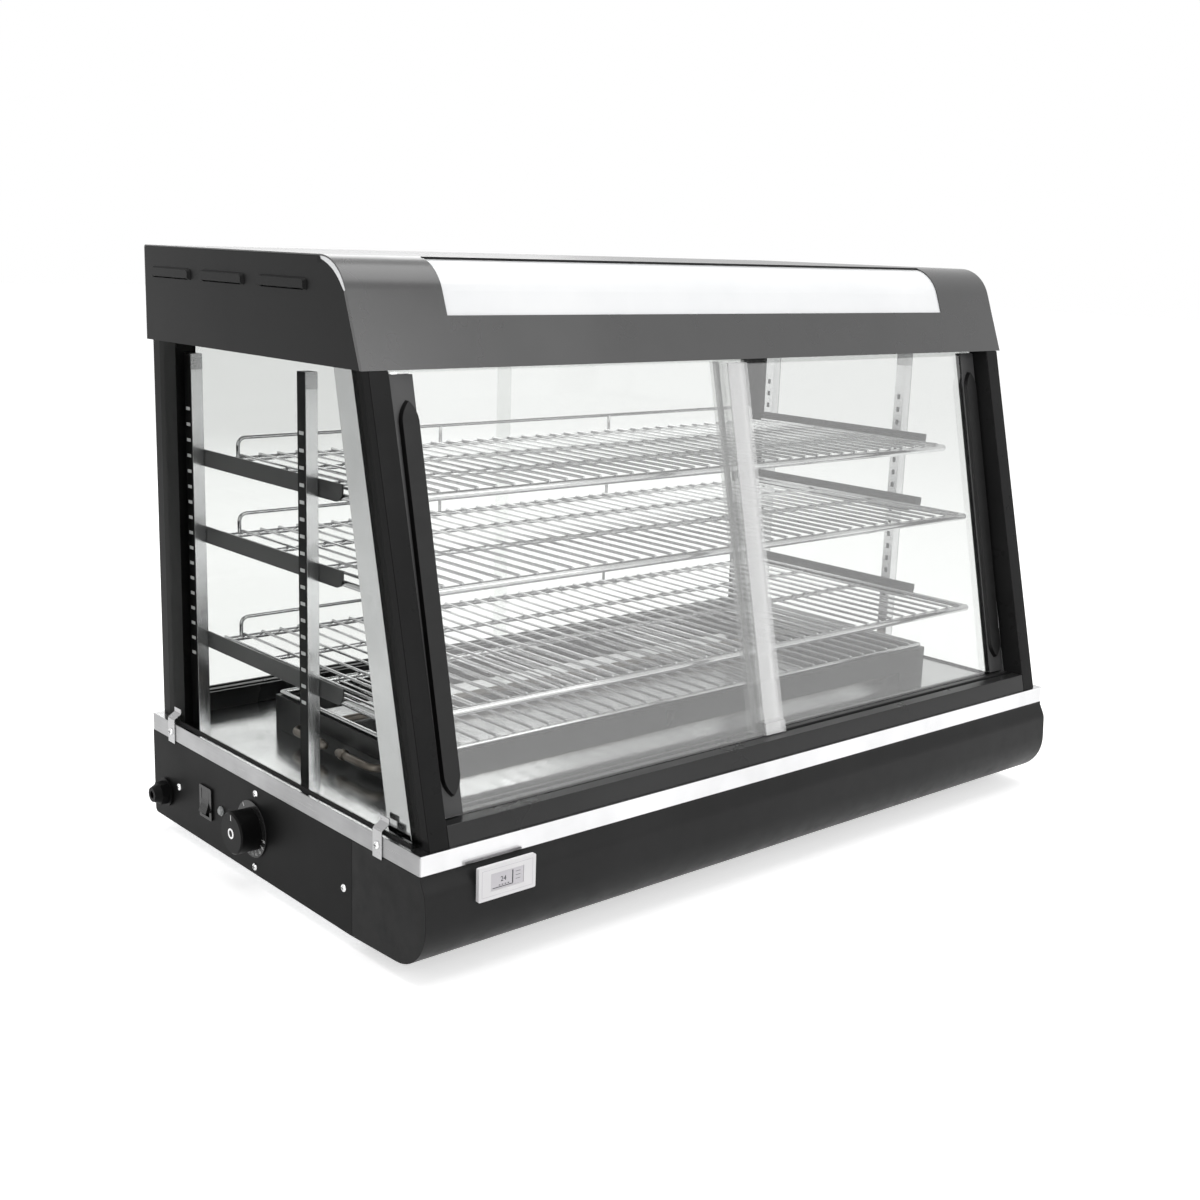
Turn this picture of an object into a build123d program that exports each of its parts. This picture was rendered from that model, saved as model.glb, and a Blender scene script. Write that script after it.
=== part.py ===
from build123d import *
import os
from math import cos, pi, radians, sin, tan

os.makedirs("parts", exist_ok=True)

# A countertop hot food merchandiser: a heated glass cabinet with a steel base,
# three wire shelves, sliding glass doors front and back and a lit canopy.
# Millimetres. +X is to the right and -Y is to the front as the customer sees it.
# The origin is on the counter, under the middle of all that sticks out, knob included.

# Overall sizes
width = 900.0
depth = 497.0
foot_height = 12.0
base_height = 92.0
lip_height = 18.0
display_height = 392.6
canopy_height = 92.8

# Sheet metal and the small gaps between neighbouring sheets
sheet = 1.2
seam = 0.3
corner_relief = 1.0
overcut = 1.0
fit_slack = 0.02

# Base housing
front_seam_y = -143.0
base_overhang = 11.0
base_underside_rise = 5.0
belly_drop = 13.0
belly_out = 7.0
belly_top = 3.0
base_front_radius = 45.0
belly_radius = 20.0
base_rear_radius = 5.0
foot_radius = 16.0
foot_inset_x = 58.0
front_foot_inset = 136.5
rear_foot_inset = 36.5

# Screws
screw_shank_radius = 2.0
screw_head_radius = 3.8
screw_head_height = 2.2
screw_length = 8.0
screw_sides = 8
screw_head_sides = 12
screw_hole_clearance = 0.1
panel_screw_places = [(191.0, 55.5), (28.5, 96.0), (32.0, 20.0), (-130.0, 54.0)]

# Controls on the left side panel, as distances back from the middle and up from the counter
gland_y = 220.0
gland_z = 42.0
gland_flange_radius = 15.0
gland_body_radius = 12.5
gland_nose_radius = 7.6
gland_thread_radius = 9.0
gland_bore_radius = 4.0
gland_flange = 2.5
gland_body = 8.0
gland_nose = 7.0
gland_thread = 12.0
gland_nut_radius = 13.0
gland_nut = 5.0
switch_y = 130.0
switch_z = 57.0
switch_width = 25.0
switch_height = 34.0
switch_bezel = 2.0
switch_body_width = 21.0
switch_body_height = 31.0
switch_body_depth = 26.0
rocker_width = 15.0
rocker_height = 24.4
rocker_gap = 0.6
rocker_swing_gap = 1.8
rocker_pivot_depth = 7.0
rocker_rise = 4.0
rocker_tilt = 10.0
rocker_pin_radius = 1.5
rocker_pin_end = 1.2
running_clearance = 0.05
pilot_y = 99.0
pilot_z = 57.0
pilot_lens_radius = 5.0
pilot_lens_height = 3.0
pilot_lens_bevel = 1.8
pilot_body_radius = 4.0
pilot_body_depth = 22.0
dial_y = 36.5
dial_z = 58.0
dial_radius = 28.5
dial_thickness = 1.5
knob_radius = 21.0
knob_height = 21.0
knob_standoff = 0.5
knob_edge_bevel = 1.5
spindle_radius = 3.0
spindle_length = 14.0
bush_radius = 5.0
thermostat_size = 44.0
thermostat_depth = 26.0
thermometer_inset = 83.0
thermometer_z = 87.0
thermometer_width = 62.0
thermometer_height = 31.0
thermometer_bezel = 4.0
thermometer_corner = 1.5
thermometer_body_width = 46.0
thermometer_body_height = 22.0
thermometer_body_depth = 22.0
screen_width = 36.0
screen_height = 16.0
screen_depth = 1.0
control_gap = 0.3
window_margin = 6.0
block_length = 48.0
block_width = 22.0
block_height = 18.0
block_inset = 70.0
block_pocket = 6.5
block_pocket_depth = 6.0

# Glass cabinet
front_setback = 3.5
front_lean = 13.5
glass = 4.0
glass_side_inset = 7.7
glass_rear_inset = 24.5
glass_front_lap = 18.0
glass_into_canopy = 18.0
stile_width = 20.0
stile_depth = 26.0
stile_wall = 1.5
post_width = 22.0
post_front_inset = 50.0
post_wall = 1.5
liner_bottom_depth = 36.0
liner_top_depth = 28.0
clip_width = 14.0
clip_places = (204.0, -185.0)
clip_reach_up = 15.0
clip_knee = 5.0
clip_hang = 3.0
clip_bend = 2.5

# Doors
door_setback = 17.0
door_lean = 12.4
track_pitch = 13.0
track_gap = 1.0
track_wall = 4.0
door_side_gap = 6.0
door_lap = 14.0
rail_height = 18.0
groove_floor = 4.0
door_lift = 0.6
door_head = 1.5
top_rail_lift = 1.5
top_rail_rise = 22.0
top_groove_depth = 15.0
door_stile_width = 24.0
door_stile_thickness = 7.0
door_stile_gap = 4.0
door_foot_gap = 1.0
handle_width = 19.0
handle_length = 340.0
handle_taper = 18.0
handle_height = 5.0
handle_inset = 0.5
handle_bow = 0.62
handle_edge_taper = 12.0
handle_top_gap = 21.0
edge_seal_width = 28.0
rear_seal_width = 12.0
edge_seal_thickness = 7.0
edge_wall = 3.0
rear_track_inset = 8.5
rear_rail_depth = 26.0
rear_rail_height = 20.0
rear_pull_width = 12.0
rear_pull_length = 160.0
rear_pull_base = 1.5
rear_pull_height = 5.0
rear_pull_rib = 3.0
rear_pull_z = 330.0

# Uprights, rails and shelves
upright_inset = 33.5
upright_width = 12.5
upright_depth = 14.0
upright_wall = 1.2
upright_top_gap = 26.0
front_upright_y = -28.0
rear_upright_inset = 57.5
slot_width = 3.0
slot_height = 6.0
slot_pitch = 15.7
slot_count = 17
first_slot_z = 198.2
shelf_slots = (1, 8, 13)
shelf_front_y = (-156.0, -141.0, -103.0)
shelf_names = ("bottom", "middle", "top")
rail_front_y = -75.0
rail_rear_inset = 52.5
shelf_rail_height = 17.0
shelf_rail_sheet = 1.5
shelf_ledge = 10.0
rail_top_above_slot = 6.0
rail_tip_radius = 12.0
hook_width = 2.0
hook_height = 5.0
hook_drop = 3.0
hook_out = 2.6
front_rod_radius = 4.0
frame_rod_radius = 3.0
cross_rod_radius = 2.5
rod_sides = 8
wire_radius = 1.6
wire_sides = 6
wire_pitch = 21.5
wire_end = 3.0
wire_seat = 0.05
shelf_side_gap = 0.4
shelf_rear_inset = 62.5
cross_rod_places = (-5.0, 92.0)
guard_wire_radius = 2.0
guard_wire_rise = 19.0
guard_wire_radius_bend = 8.0
guard_wire_inset = 38.5

# Heater
guard_side_inset = 80.0
guard_front_y = -132.0
guard_rear_y = 130.0
guard_height = 36.0
guard_clear = 9.5
guard_leg = 45.0
guard_flange = 12.0
rack_rod_radius = 2.5
rack_inset = 5.0
heater_radius = 4.0
heater_sides = 6
heater_reach = 13.0
heater_half_depth = 75.0
heater_height = 14.0
heater_bend = 12.0
heater_end_gap = 12.0
heater_hole_clearance = 0.3
heater_cap_radius = 5.5
heater_cap_length = 12.0

# Canopy
canopy_side_inset = 6.0
canopy_rear_inset = 0.5
canopy_lean = 20.4
canopy_radius = 43.0
canopy_rear_radius = 3.0
fascia_reveal = 4.0
end_gap = 0.4
sign_side_inset = 97.0
sign_bottom = 44.0
sign_reach = 57.75
sign_thickness = 2.5
sign_lap = 12.0
ceiling_rise = 26.0
lamp_radius = 8.0
lamp_side_inset = 154.0
lamp_setback = 80.75
lamp_rise = 26.0
lamp_window = 60.0
holder_width = 14.0
holder_depth = 24.0
holder_grip = 6.0
louvre_places = (191.0, 87.0, -22.5)
louvre_length = 82.0
louvre_height = 11.0
louvre_depth = 3.0
louvre_wall = 1.0
louvre_corner = 5.0
louvre_drop = 31.0
louvre_slope = 30.0

# Heights and faces that follow from the sizes above
base_bottom = foot_height
lip_bottom = base_bottom + base_height
floor_top = lip_bottom + lip_height
canopy_bottom = floor_top + display_height
canopy_top = canopy_bottom + canopy_height
cover_gap = sheet + seam
chassis_half = width / 2 - cover_gap
chassis_top = floor_top - sheet
front_y = -depth / 2 + front_setback
front_foot_y = -depth / 2 + front_foot_inset
rear_foot_y = depth / 2 - rear_foot_inset
thermometer_x = -width / 2 + thermometer_inset
block_x = -width / 2 + block_inset
clip_centre_x = width / 2 + sheet / 2 + screw_hole_clearance / 2
clip_outer_x = clip_centre_x + sheet / 2
knob_back_x = -width / 2 - dial_thickness - knob_standoff
canopy_half_width = width / 2 - canopy_side_inset
canopy_rear_y = depth / 2 - canopy_rear_inset
canopy_front_y = front_y + display_height * tan(radians(front_lean))
sign_half_width = canopy_half_width - sign_side_inset
sign_rear_y = canopy_front_y + sign_reach
lamp_half_length = canopy_half_width - lamp_side_inset
lamp_y = canopy_front_y + lamp_setback
ceiling_z = canopy_bottom + ceiling_rise
glass_outer_x = width / 2 - glass_side_inset
glass_rear_y = depth / 2 - glass_rear_inset
post_outer_x = glass_outer_x - glass - seam
post_front_y = depth / 2 - post_front_inset
rear_track_y = depth / 2 - rear_track_inset
upright_inner_x = width / 2 - upright_inset
rear_upright_y = depth / 2 - rear_upright_inset
rail_rear_y = depth / 2 - rail_rear_inset
shelf_rear_y = depth / 2 - shelf_rear_inset
guard_wire_span = upright_inner_x - guard_wire_inset
guard_half_width = width / 2 - guard_side_inset
stile_inner_x = post_outer_x - stile_width
door_outer_x = stile_inner_x - door_side_gap
rail_end_x = stile_inner_x - seam


def outline(points, radii):
    """Fill a closed outline in the open sketch, each corner rounded by its own radius."""
    with BuildLine() as edge:
        FilletPolyline(*points, radius=radii, close=True)
    make_face(edge.edges())


def front_face(z):
    """How far back the front frame's face is at height z."""
    return front_y + (z - floor_top) * tan(radians(front_lean))


def canopy_face(z):
    """How far back the canopy's front sheet is at height z, below its curve."""
    return canopy_front_y + (z - canopy_bottom) * tan(radians(canopy_lean))


def door_line(z, track):
    """The middle of a front door's glass at height z: track 0 is in front, 1 behind."""
    return front_y + door_setback + (z - floor_top) * tan(radians(door_lean)) + track * track_pitch


def slanted_strip(low, high, track, thickness):
    """Fill the side view of a strip that lies in a front door's plane."""
    half = thickness / 2 / cos(radians(door_lean))
    outline(
        [
            (door_line(low, track) - half, low),
            (door_line(low, track) + half, low),
            (door_line(high, track) + half, high),
            (door_line(high, track) - half, high),
        ],
        [0, 0, 0, 0],
    )


def base_outline(inset, top):
    """Fill the base's side view, set in by the same amount from the panels' outside."""
    front = -depth / 2 + inset
    rear = depth / 2 - inset
    bottom = base_bottom + inset
    outline(
        [
            (rear, top),
            (rear, bottom),
            (front_seam_y, bottom),
            (-depth / 2 - base_overhang + inset, bottom + base_underside_rise),
            (front - belly_out, lip_bottom - belly_top - belly_drop),
            (front, lip_bottom - belly_top),
            (front, top),
        ],
        [0, base_rear_radius, 0, base_front_radius, belly_radius, 0, 0],
    )


def cover_face(z):
    """How far back the front cover's face is at height z, between its two bends."""
    knee_z = base_bottom + base_underside_rise
    belly_z = lip_bottom - belly_top - belly_drop
    share = (z - knee_z) / (belly_z - knee_z)
    return -depth / 2 - base_overhang + share * (base_overhang - belly_out)


# The pieces are drawn about the middle of the floor plate, and moved as they are saved
thermometer_back_y = cover_face(thermometer_z - thermometer_height / 2) - control_gap
thermometer_front_y = thermometer_back_y - thermometer_bezel
knob_front_x = knob_back_x - knob_height
middle_x = (knob_front_x + clip_outer_x + screw_head_height) / 2
middle_y = (thermometer_front_y + depth / 2) / 2


def save(piece, name):
    """Move a finished piece so that the origin is under the middle, name it and write it."""
    piece.part = Pos(-middle_x, -middle_y, 0) * piece.part
    piece.part.label = name
    export_step(piece.part, f"parts/{name}.step")


def screw_hole():
    """Draw the hole for a screw's shank in the open sketch."""
    RegularPolygon(screw_shank_radius + screw_hole_clearance, screw_sides)


def canopy_outline(front_inset, top_inset, rear_inset, bottom):
    """Fill the canopy's side view, set in from its front, roof and rear."""
    lean = radians(canopy_lean)
    top = canopy_top - top_inset
    inward = front_inset / cos(lean)
    rear = canopy_rear_y - rear_inset
    outline(
        [
            (rear, bottom),
            (rear, top),
            (canopy_face(top) + inward, top),
            (canopy_face(bottom) + inward, bottom),
        ],
        [0, canopy_rear_radius, canopy_radius - max(front_inset, top_inset), 0],
    )


# The stainless floor plate, with a lip folded down all round
with BuildPart() as floor_plate:
    with BuildSketch(Plane.XY.offset(lip_bottom)):
        Rectangle(width, depth)
    extrude(amount=lip_height)
    offset(amount=-sheet, openings=floor_plate.faces().sort_by(Axis.Z)[0])
    with BuildSketch(Plane.XY.offset(lip_bottom)):
        with GridLocations(width, depth, 2, 2):
            Rectangle(2 * corner_relief, 2 * corner_relief)
    extrude(amount=lip_height - sheet, mode=Mode.SUBTRACT)
    for side in (-1, 1):
        with BuildSketch(Plane.YZ.offset(side * width / 2)):
            with Locations(*[(y, lip_bottom + lip_height / 2) for y in clip_places]):
                screw_hole()
        extrude(amount=-side * sheet, mode=Mode.SUBTRACT)
save(floor_plate, "floor_plate")

# The chassis tray inside the base panels. It carries the floor plate.
gland_hole = gland_thread_radius + control_gap
with BuildPart() as base_chassis:
    with BuildSketch(Plane.YZ.offset(-chassis_half)):
        base_outline(cover_gap, chassis_top)
    extrude(amount=2 * chassis_half)
    offset(amount=-sheet, openings=base_chassis.faces().sort_by(Axis.Z)[-1])
    with BuildSketch(Plane.YZ.offset(-chassis_half)):
        with Locations((gland_y, gland_z)):
            Rectangle(2 * gland_nut_radius + window_margin, 2 * gland_nut_radius + window_margin)
        with Locations((switch_y, switch_z)):
            Rectangle(switch_body_width + window_margin, switch_body_height + window_margin)
        with Locations((pilot_y, pilot_z)):
            Rectangle(2 * pilot_body_radius + window_margin, 2 * pilot_body_radius + window_margin)
        with Locations((dial_y, dial_z)):
            Rectangle(thermostat_size + window_margin, thermostat_size + window_margin)
    extrude(amount=sheet, mode=Mode.SUBTRACT)
    for side in (-1, 1):
        with BuildSketch(Plane.YZ.offset(side * chassis_half)):
            with Locations(*panel_screw_places):
                screw_hole()
            with Locations(*[(y, lip_bottom + lip_height / 2) for y in clip_places]):
                screw_hole()
        extrude(amount=-side * sheet, mode=Mode.SUBTRACT)
    with BuildSketch(Plane.XZ):
        with Locations((thermometer_x, thermometer_z)):
            Rectangle(
                thermometer_body_width + window_margin / 2,
                thermometer_body_height + window_margin / 2,
            )
    extrude(amount=depth, mode=Mode.SUBTRACT)
save(base_chassis, "base_chassis")

# The front cover: the rounded front of the base with its two cheeks, one folded sheet
with BuildPart() as front_cover:
    with BuildSketch(Plane.YZ.offset(-width / 2)):
        base_outline(0, lip_bottom - seam)
    extrude(amount=width)
    offset(amount=-sheet, openings=front_cover.faces().sort_by(Axis.Z)[-1])
    with BuildSketch(Plane.YZ.offset(-width / 2)):
        with Locations((front_seam_y, base_bottom)):
            Rectangle(depth, base_height, align=(Align.MIN, Align.MIN))
    extrude(amount=width, mode=Mode.SUBTRACT)
    with BuildSketch(Plane.XZ):
        with Locations((thermometer_x, thermometer_z)):
            Rectangle(thermometer_body_width + 2 * control_gap, thermometer_body_height + 2 * control_gap)
    extrude(amount=depth, mode=Mode.SUBTRACT)
save(front_cover, "front_cover")


def make_side_panel(side):
    """A flat side panel of the base, behind the front cover: side -1 is the left."""
    with BuildPart() as panel:
        with BuildSketch(Plane.YZ.offset(side * width / 2)):
            base_outline(0, lip_bottom - seam)
        extrude(amount=-side * sheet)
        with BuildSketch(Plane.YZ.offset(side * width / 2)):
            with Locations((front_seam_y + seam, base_bottom)):
                Rectangle(depth, base_height, align=(Align.MAX, Align.MIN))
            with Locations(*[place for place in panel_screw_places if place[0] > front_seam_y]):
                screw_hole()
        extrude(amount=-side * sheet, mode=Mode.SUBTRACT)
    return panel


right_side_panel = make_side_panel(1)
save(right_side_panel, "right_side_panel")

plain_side_panel = make_side_panel(-1)
with BuildPart() as left_side_panel:
    add(plain_side_panel.part)
    with BuildSketch(Plane.YZ.offset(-width / 2)):
        with Locations((gland_y, gland_z)):
            Circle(gland_hole)
        with Locations((switch_y, switch_z)):
            Rectangle(switch_body_width + 2 * control_gap, switch_body_height + 2 * control_gap)
        with Locations((pilot_y, pilot_z)):
            Circle(pilot_body_radius + control_gap)
        with Locations((dial_y, dial_z)):
            Circle(bush_radius + control_gap)
    extrude(amount=sheet, mode=Mode.SUBTRACT)
save(left_side_panel, "left_side_panel")

# The rear panel stands between the side panels
with BuildPart() as rear_panel:
    with BuildSketch(Plane.XZ.offset(-depth / 2)):
        with Locations((0, base_bottom + base_rear_radius)):
            Rectangle(
                2 * (width / 2 - sheet - seam),
                base_height - base_rear_radius - seam,
                align=(Align.CENTER, Align.MIN),
            )
    extrude(amount=sheet)
save(rear_panel, "rear_panel")

# Four rubber feet under the chassis
with BuildPart() as feet:
    for foot_y in (front_foot_y, rear_foot_y):
        for side in (-1, 1):
            with Locations((side * (width / 2 - foot_inset_x), foot_y, 0)):
                Cylinder(
                    radius=foot_radius,
                    height=base_bottom + cover_gap,
                    align=(Align.CENTER, Align.CENTER, Align.MIN),
                )
save(feet, "feet")


def add_screw(side, y, z, seat_x):
    """Add one pan head screw that enters the side from outside, its head on seat_x."""
    with BuildSketch(Plane.YZ.offset(side * seat_x)) as head:
        with Locations((y, z)):
            RegularPolygon(screw_head_radius, screw_head_sides)
    extrude(head.sketch, amount=side * screw_head_height)
    with BuildSketch(Plane.YZ.offset(side * seat_x)) as shank:
        with Locations((y, z)):
            RegularPolygon(screw_shank_radius, screw_sides)
    extrude(shank.sketch, amount=-side * screw_length)


# Identical screws hold the side panels and the glass clips
with BuildPart() as screws:
    for side in (-1, 1):
        for place in panel_screw_places:
            add_screw(side, place[0], place[1], width / 2)
        for place in clip_places:
            add_screw(side, place, lip_bottom + lip_height / 2, clip_outer_x)
save(screws, "screws")

# Four bent clips, screwed to the lip, press on the side glass from outside
clip_glass_x = glass_outer_x + sheet / 2 + screw_hole_clearance
clip_knee_z = floor_top + clip_knee
with BuildPart() as glass_clips:
    for side in (-1, 1):
        for place in clip_places:
            with BuildSketch(Plane.XZ.offset(-place)):
                with BuildLine() as strip:
                    FilletPolyline(
                        (side * clip_centre_x, lip_bottom - clip_hang),
                        (side * clip_centre_x, clip_knee_z),
                        (side * clip_glass_x, clip_knee_z + clip_knee),
                        (side * clip_glass_x, floor_top + clip_reach_up),
                        radius=clip_bend,
                    )
                trace(strip.edges(), line_width=sheet)
            extrude(amount=clip_width / 2, both=True)
            with BuildSketch(Plane.YZ.offset(side * clip_centre_x)):
                with Locations((place, lip_bottom + lip_height / 2)):
                    screw_hole()
            extrude(amount=sheet, both=True, mode=Mode.SUBTRACT)
save(glass_clips, "glass_clips")

# The cable gland in the left panel, with its nut inside
with BuildPart() as cable_gland:
    with BuildSketch(Plane.YZ.offset(-width / 2)):
        with Locations((gland_y, gland_z)):
            Circle(gland_flange_radius)
    extrude(amount=-gland_flange)
    with BuildSketch(Plane.YZ.offset(-width / 2 - gland_flange)):
        with Locations((gland_y, gland_z)):
            RegularPolygon(gland_body_radius, 6)
    extrude(amount=-gland_body)
    with Locations(Plane((-width / 2 - gland_flange - gland_body, gland_y, gland_z), z_dir=(-1, 0, 0))):
        Cone(
            bottom_radius=gland_body_radius * cos(radians(30)),
            top_radius=gland_nose_radius,
            height=gland_nose,
            align=(Align.CENTER, Align.CENTER, Align.MIN),
        )
    with BuildSketch(Plane.YZ.offset(-width / 2)):
        with Locations((gland_y, gland_z)):
            Circle(gland_thread_radius)
    extrude(amount=gland_thread)
    with BuildSketch(Plane.YZ.offset(-width / 2 + sheet)):
        with Locations((gland_y, gland_z)):
            RegularPolygon(gland_nut_radius, 6)
    extrude(amount=gland_nut)
    with BuildSketch(Plane.YZ.offset(-width / 2 - gland_flange - gland_body - gland_nose)):
        with Locations((gland_y, gland_z)):
            Circle(gland_bore_radius)
    extrude(amount=gland_flange + gland_body + gland_nose + gland_thread, mode=Mode.SUBTRACT)
save(cable_gland, "cable_gland")

# The mains switch: a framed housing with a pocket, and the rocker that tips in it
pocket_width = rocker_width + 2 * rocker_gap
pocket_height = rocker_height + 2 * rocker_swing_gap
pivot_x = -width / 2 + rocker_pivot_depth
with BuildPart() as switch_housing:
    with BuildSketch(Plane.YZ.offset(-width / 2)):
        with Locations((switch_y, switch_z)):
            RectangleRounded(switch_width, switch_height, switch_bezel)
    extrude(amount=-switch_bezel)
    with BuildSketch(Plane.YZ.offset(-width / 2)):
        with Locations((switch_y, switch_z)):
            Rectangle(switch_body_width, switch_body_height)
    extrude(amount=switch_body_depth)
    with BuildSketch(Plane.YZ.offset(-width / 2 - switch_bezel)):
        with Locations((switch_y, switch_z)):
            Rectangle(pocket_width, pocket_height)
    extrude(amount=switch_bezel + 2 * rocker_pivot_depth, mode=Mode.SUBTRACT)
    with BuildSketch(Plane.XZ.offset(-switch_y)):
        with Locations((pivot_x, switch_z)):
            Circle(rocker_pin_radius + running_clearance)
    pin_hole_half = rocker_width / 2 + rocker_gap + rocker_pin_end + control_gap
    extrude(amount=pin_hole_half, both=True, mode=Mode.SUBTRACT)
save(switch_housing, "switch_housing")

rocker_face = rocker_pivot_depth + switch_bezel
with BuildPart() as switch_rocker:
    with BuildSketch(Plane.XZ.offset(-switch_y)):
        outline(
            [
                (pivot_x + rocker_pin_radius * 2, switch_z + rocker_height / 4),
                (pivot_x - rocker_face - rocker_rise / 2, switch_z + rocker_height / 2),
                (pivot_x - rocker_face, switch_z),
                (pivot_x - rocker_face - rocker_rise / 2, switch_z - rocker_height / 2),
                (pivot_x + rocker_pin_radius * 2, switch_z - rocker_height / 4),
            ],
            [0, 0, rocker_height, 0, 0],
        )
    extrude(amount=rocker_width / 2, both=True)
    with BuildSketch(Plane.XZ.offset(-switch_y)):
        with Locations((pivot_x, switch_z)):
            Circle(rocker_pin_radius)
    extrude(amount=rocker_width / 2 + rocker_gap + rocker_pin_end, both=True)
rocker_axis = Axis((pivot_x, switch_y, switch_z), (0, 1, 0))
switch_rocker.part = switch_rocker.part.rotate(rocker_axis, rocker_tilt)
save(switch_rocker, "switch_rocker")

# The pilot lamp's bevelled lens and its body behind the panel
with BuildPart() as pilot_lamp:
    with BuildSketch(Plane.YZ.offset(-width / 2)):
        with Locations((pilot_y, pilot_z)):
            Circle(pilot_lens_radius)
    extrude(amount=-pilot_lens_height)
    chamfer(pilot_lamp.faces().sort_by(Axis.X)[0].edges(), length=pilot_lens_bevel)
    with BuildSketch(Plane.YZ.offset(-width / 2)):
        with Locations((pilot_y, pilot_z)):
            Circle(pilot_body_radius)
    extrude(amount=pilot_body_depth)
save(pilot_lamp, "pilot_lamp")

# The thermostat: body and bush behind the panel, fixed dial plate, and the knob on its spindle
with BuildPart() as thermostat_body:
    with BuildSketch(Plane.YZ.offset(-width / 2 + sheet)):
        with Locations((dial_y, dial_z)):
            Rectangle(thermostat_size, thermostat_size)
    extrude(amount=thermostat_depth)
    with BuildSketch(Plane.YZ.offset(-width / 2 - dial_thickness)):
        with Locations((dial_y, dial_z)):
            Circle(bush_radius)
    extrude(amount=dial_thickness + sheet)
    with BuildSketch(Plane.YZ.offset(-width / 2 - dial_thickness)):
        with Locations((dial_y, dial_z)):
            Circle(spindle_radius + running_clearance)
    extrude(amount=spindle_length + control_gap, mode=Mode.SUBTRACT)
save(thermostat_body, "thermostat_body")

with BuildPart() as dial_plate:
    with BuildSketch(Plane.YZ.offset(-width / 2)):
        with Locations((dial_y, dial_z)):
            Circle(dial_radius)
            Circle(bush_radius + control_gap, mode=Mode.SUBTRACT)
    extrude(amount=-dial_thickness)
save(dial_plate, "dial_plate")

with BuildPart() as thermostat_knob:
    with BuildSketch(Plane.YZ.offset(knob_back_x)):
        with Locations((dial_y, dial_z)):
            Circle(knob_radius)
    extrude(amount=-knob_height)
    chamfer(thermostat_knob.faces().sort_by(Axis.X)[0].edges(), length=knob_edge_bevel)
    with BuildSketch(Plane.YZ.offset(knob_back_x)):
        with Locations((dial_y, dial_z)):
            Circle(spindle_radius)
    extrude(amount=spindle_length)
save(thermostat_knob, "thermostat_knob")

# The panel thermometer in the front cover
with BuildPart() as thermometer:
    with BuildSketch(Plane.XZ.offset(-thermometer_back_y)):
        with Locations((thermometer_x, thermometer_z)):
            RectangleRounded(thermometer_width, thermometer_height, thermometer_corner)
    extrude(amount=thermometer_bezel)
    with BuildSketch(Plane.XZ.offset(-thermometer_back_y)):
        with Locations((thermometer_x, thermometer_z)):
            Rectangle(thermometer_body_width, thermometer_body_height)
    extrude(amount=-thermometer_body_depth)
    with BuildSketch(Plane.XZ.offset(-thermometer_back_y + thermometer_bezel)):
        with Locations((thermometer_x, thermometer_z)):
            Rectangle(screen_width, screen_height)
    extrude(amount=-screen_depth, mode=Mode.SUBTRACT)
save(thermometer, "thermometer")

# The terminal block on the chassis floor, by the gland
with BuildPart() as terminal_block:
    with BuildSketch(Plane.XY.offset(base_bottom + cover_gap + sheet)):
        with Locations((block_x, gland_y - block_width)):
            Rectangle(block_length, block_width)
    extrude(amount=block_height)
    with BuildSketch(Plane.XY.offset(base_bottom + cover_gap + sheet + block_height)):
        with Locations((block_x, gland_y - block_width)):
            with GridLocations(block_length / 4, block_width / 2, 4, 2):
                Rectangle(block_pocket, block_pocket)
    extrude(amount=-block_pocket_depth, mode=Mode.SUBTRACT)
save(terminal_block, "terminal_block")


def make_front_stile(side):
    """A front corner post, leaning with the front and cut back under the canopy's sheet."""
    step = canopy_bottom - seam
    behind = (sheet + seam) / cos(radians(canopy_lean))
    with BuildPart() as stile:
        with BuildSketch(Plane.YZ.offset(side * post_outer_x)):
            outline(
                [
                    (front_y, floor_top),
                    (front_face(step), step),
                    (canopy_face(step) + behind + seam, step),
                    (canopy_face(ceiling_z) + behind + seam, ceiling_z),
                    (front_face(ceiling_z) + stile_depth, ceiling_z),
                    (front_y + stile_depth, floor_top),
                ],
                [0, 0, 0, 0, 0, 0],
            )
        extrude(amount=-side * stile_width)
        ends = stile.faces().sort_by(Axis.Z)
        offset(amount=-stile_wall, openings=[ends[0], ends[-1]])
    return stile


save(make_front_stile(-1), "front_stile_left")
save(make_front_stile(1), "front_stile_right")

# The front bottom rail: the frame's sill, with a groove for each door
groove_width = glass + 2 * track_gap
sill_rear_y = door_line(floor_top, 1) + glass / 2 + track_gap + track_wall
with BuildPart() as front_bottom_rail:
    with BuildSketch(Plane.YZ.offset(-rail_end_x)):
        outline(
            [
                (front_y, floor_top),
                (front_face(floor_top + rail_height), floor_top + rail_height),
                (sill_rear_y + rail_height * tan(radians(door_lean)), floor_top + rail_height),
                (sill_rear_y, floor_top),
            ],
            [0, 0, 0, 0],
        )
    extrude(amount=2 * rail_end_x)
    for track in (0, 1):
        with BuildSketch(Plane.YZ.offset(-rail_end_x)):
            slanted_strip(floor_top + groove_floor, floor_top + rail_height + overcut, track, groove_width)
        extrude(amount=2 * rail_end_x, mode=Mode.SUBTRACT)
save(front_bottom_rail, "front_bottom_rail")

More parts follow.
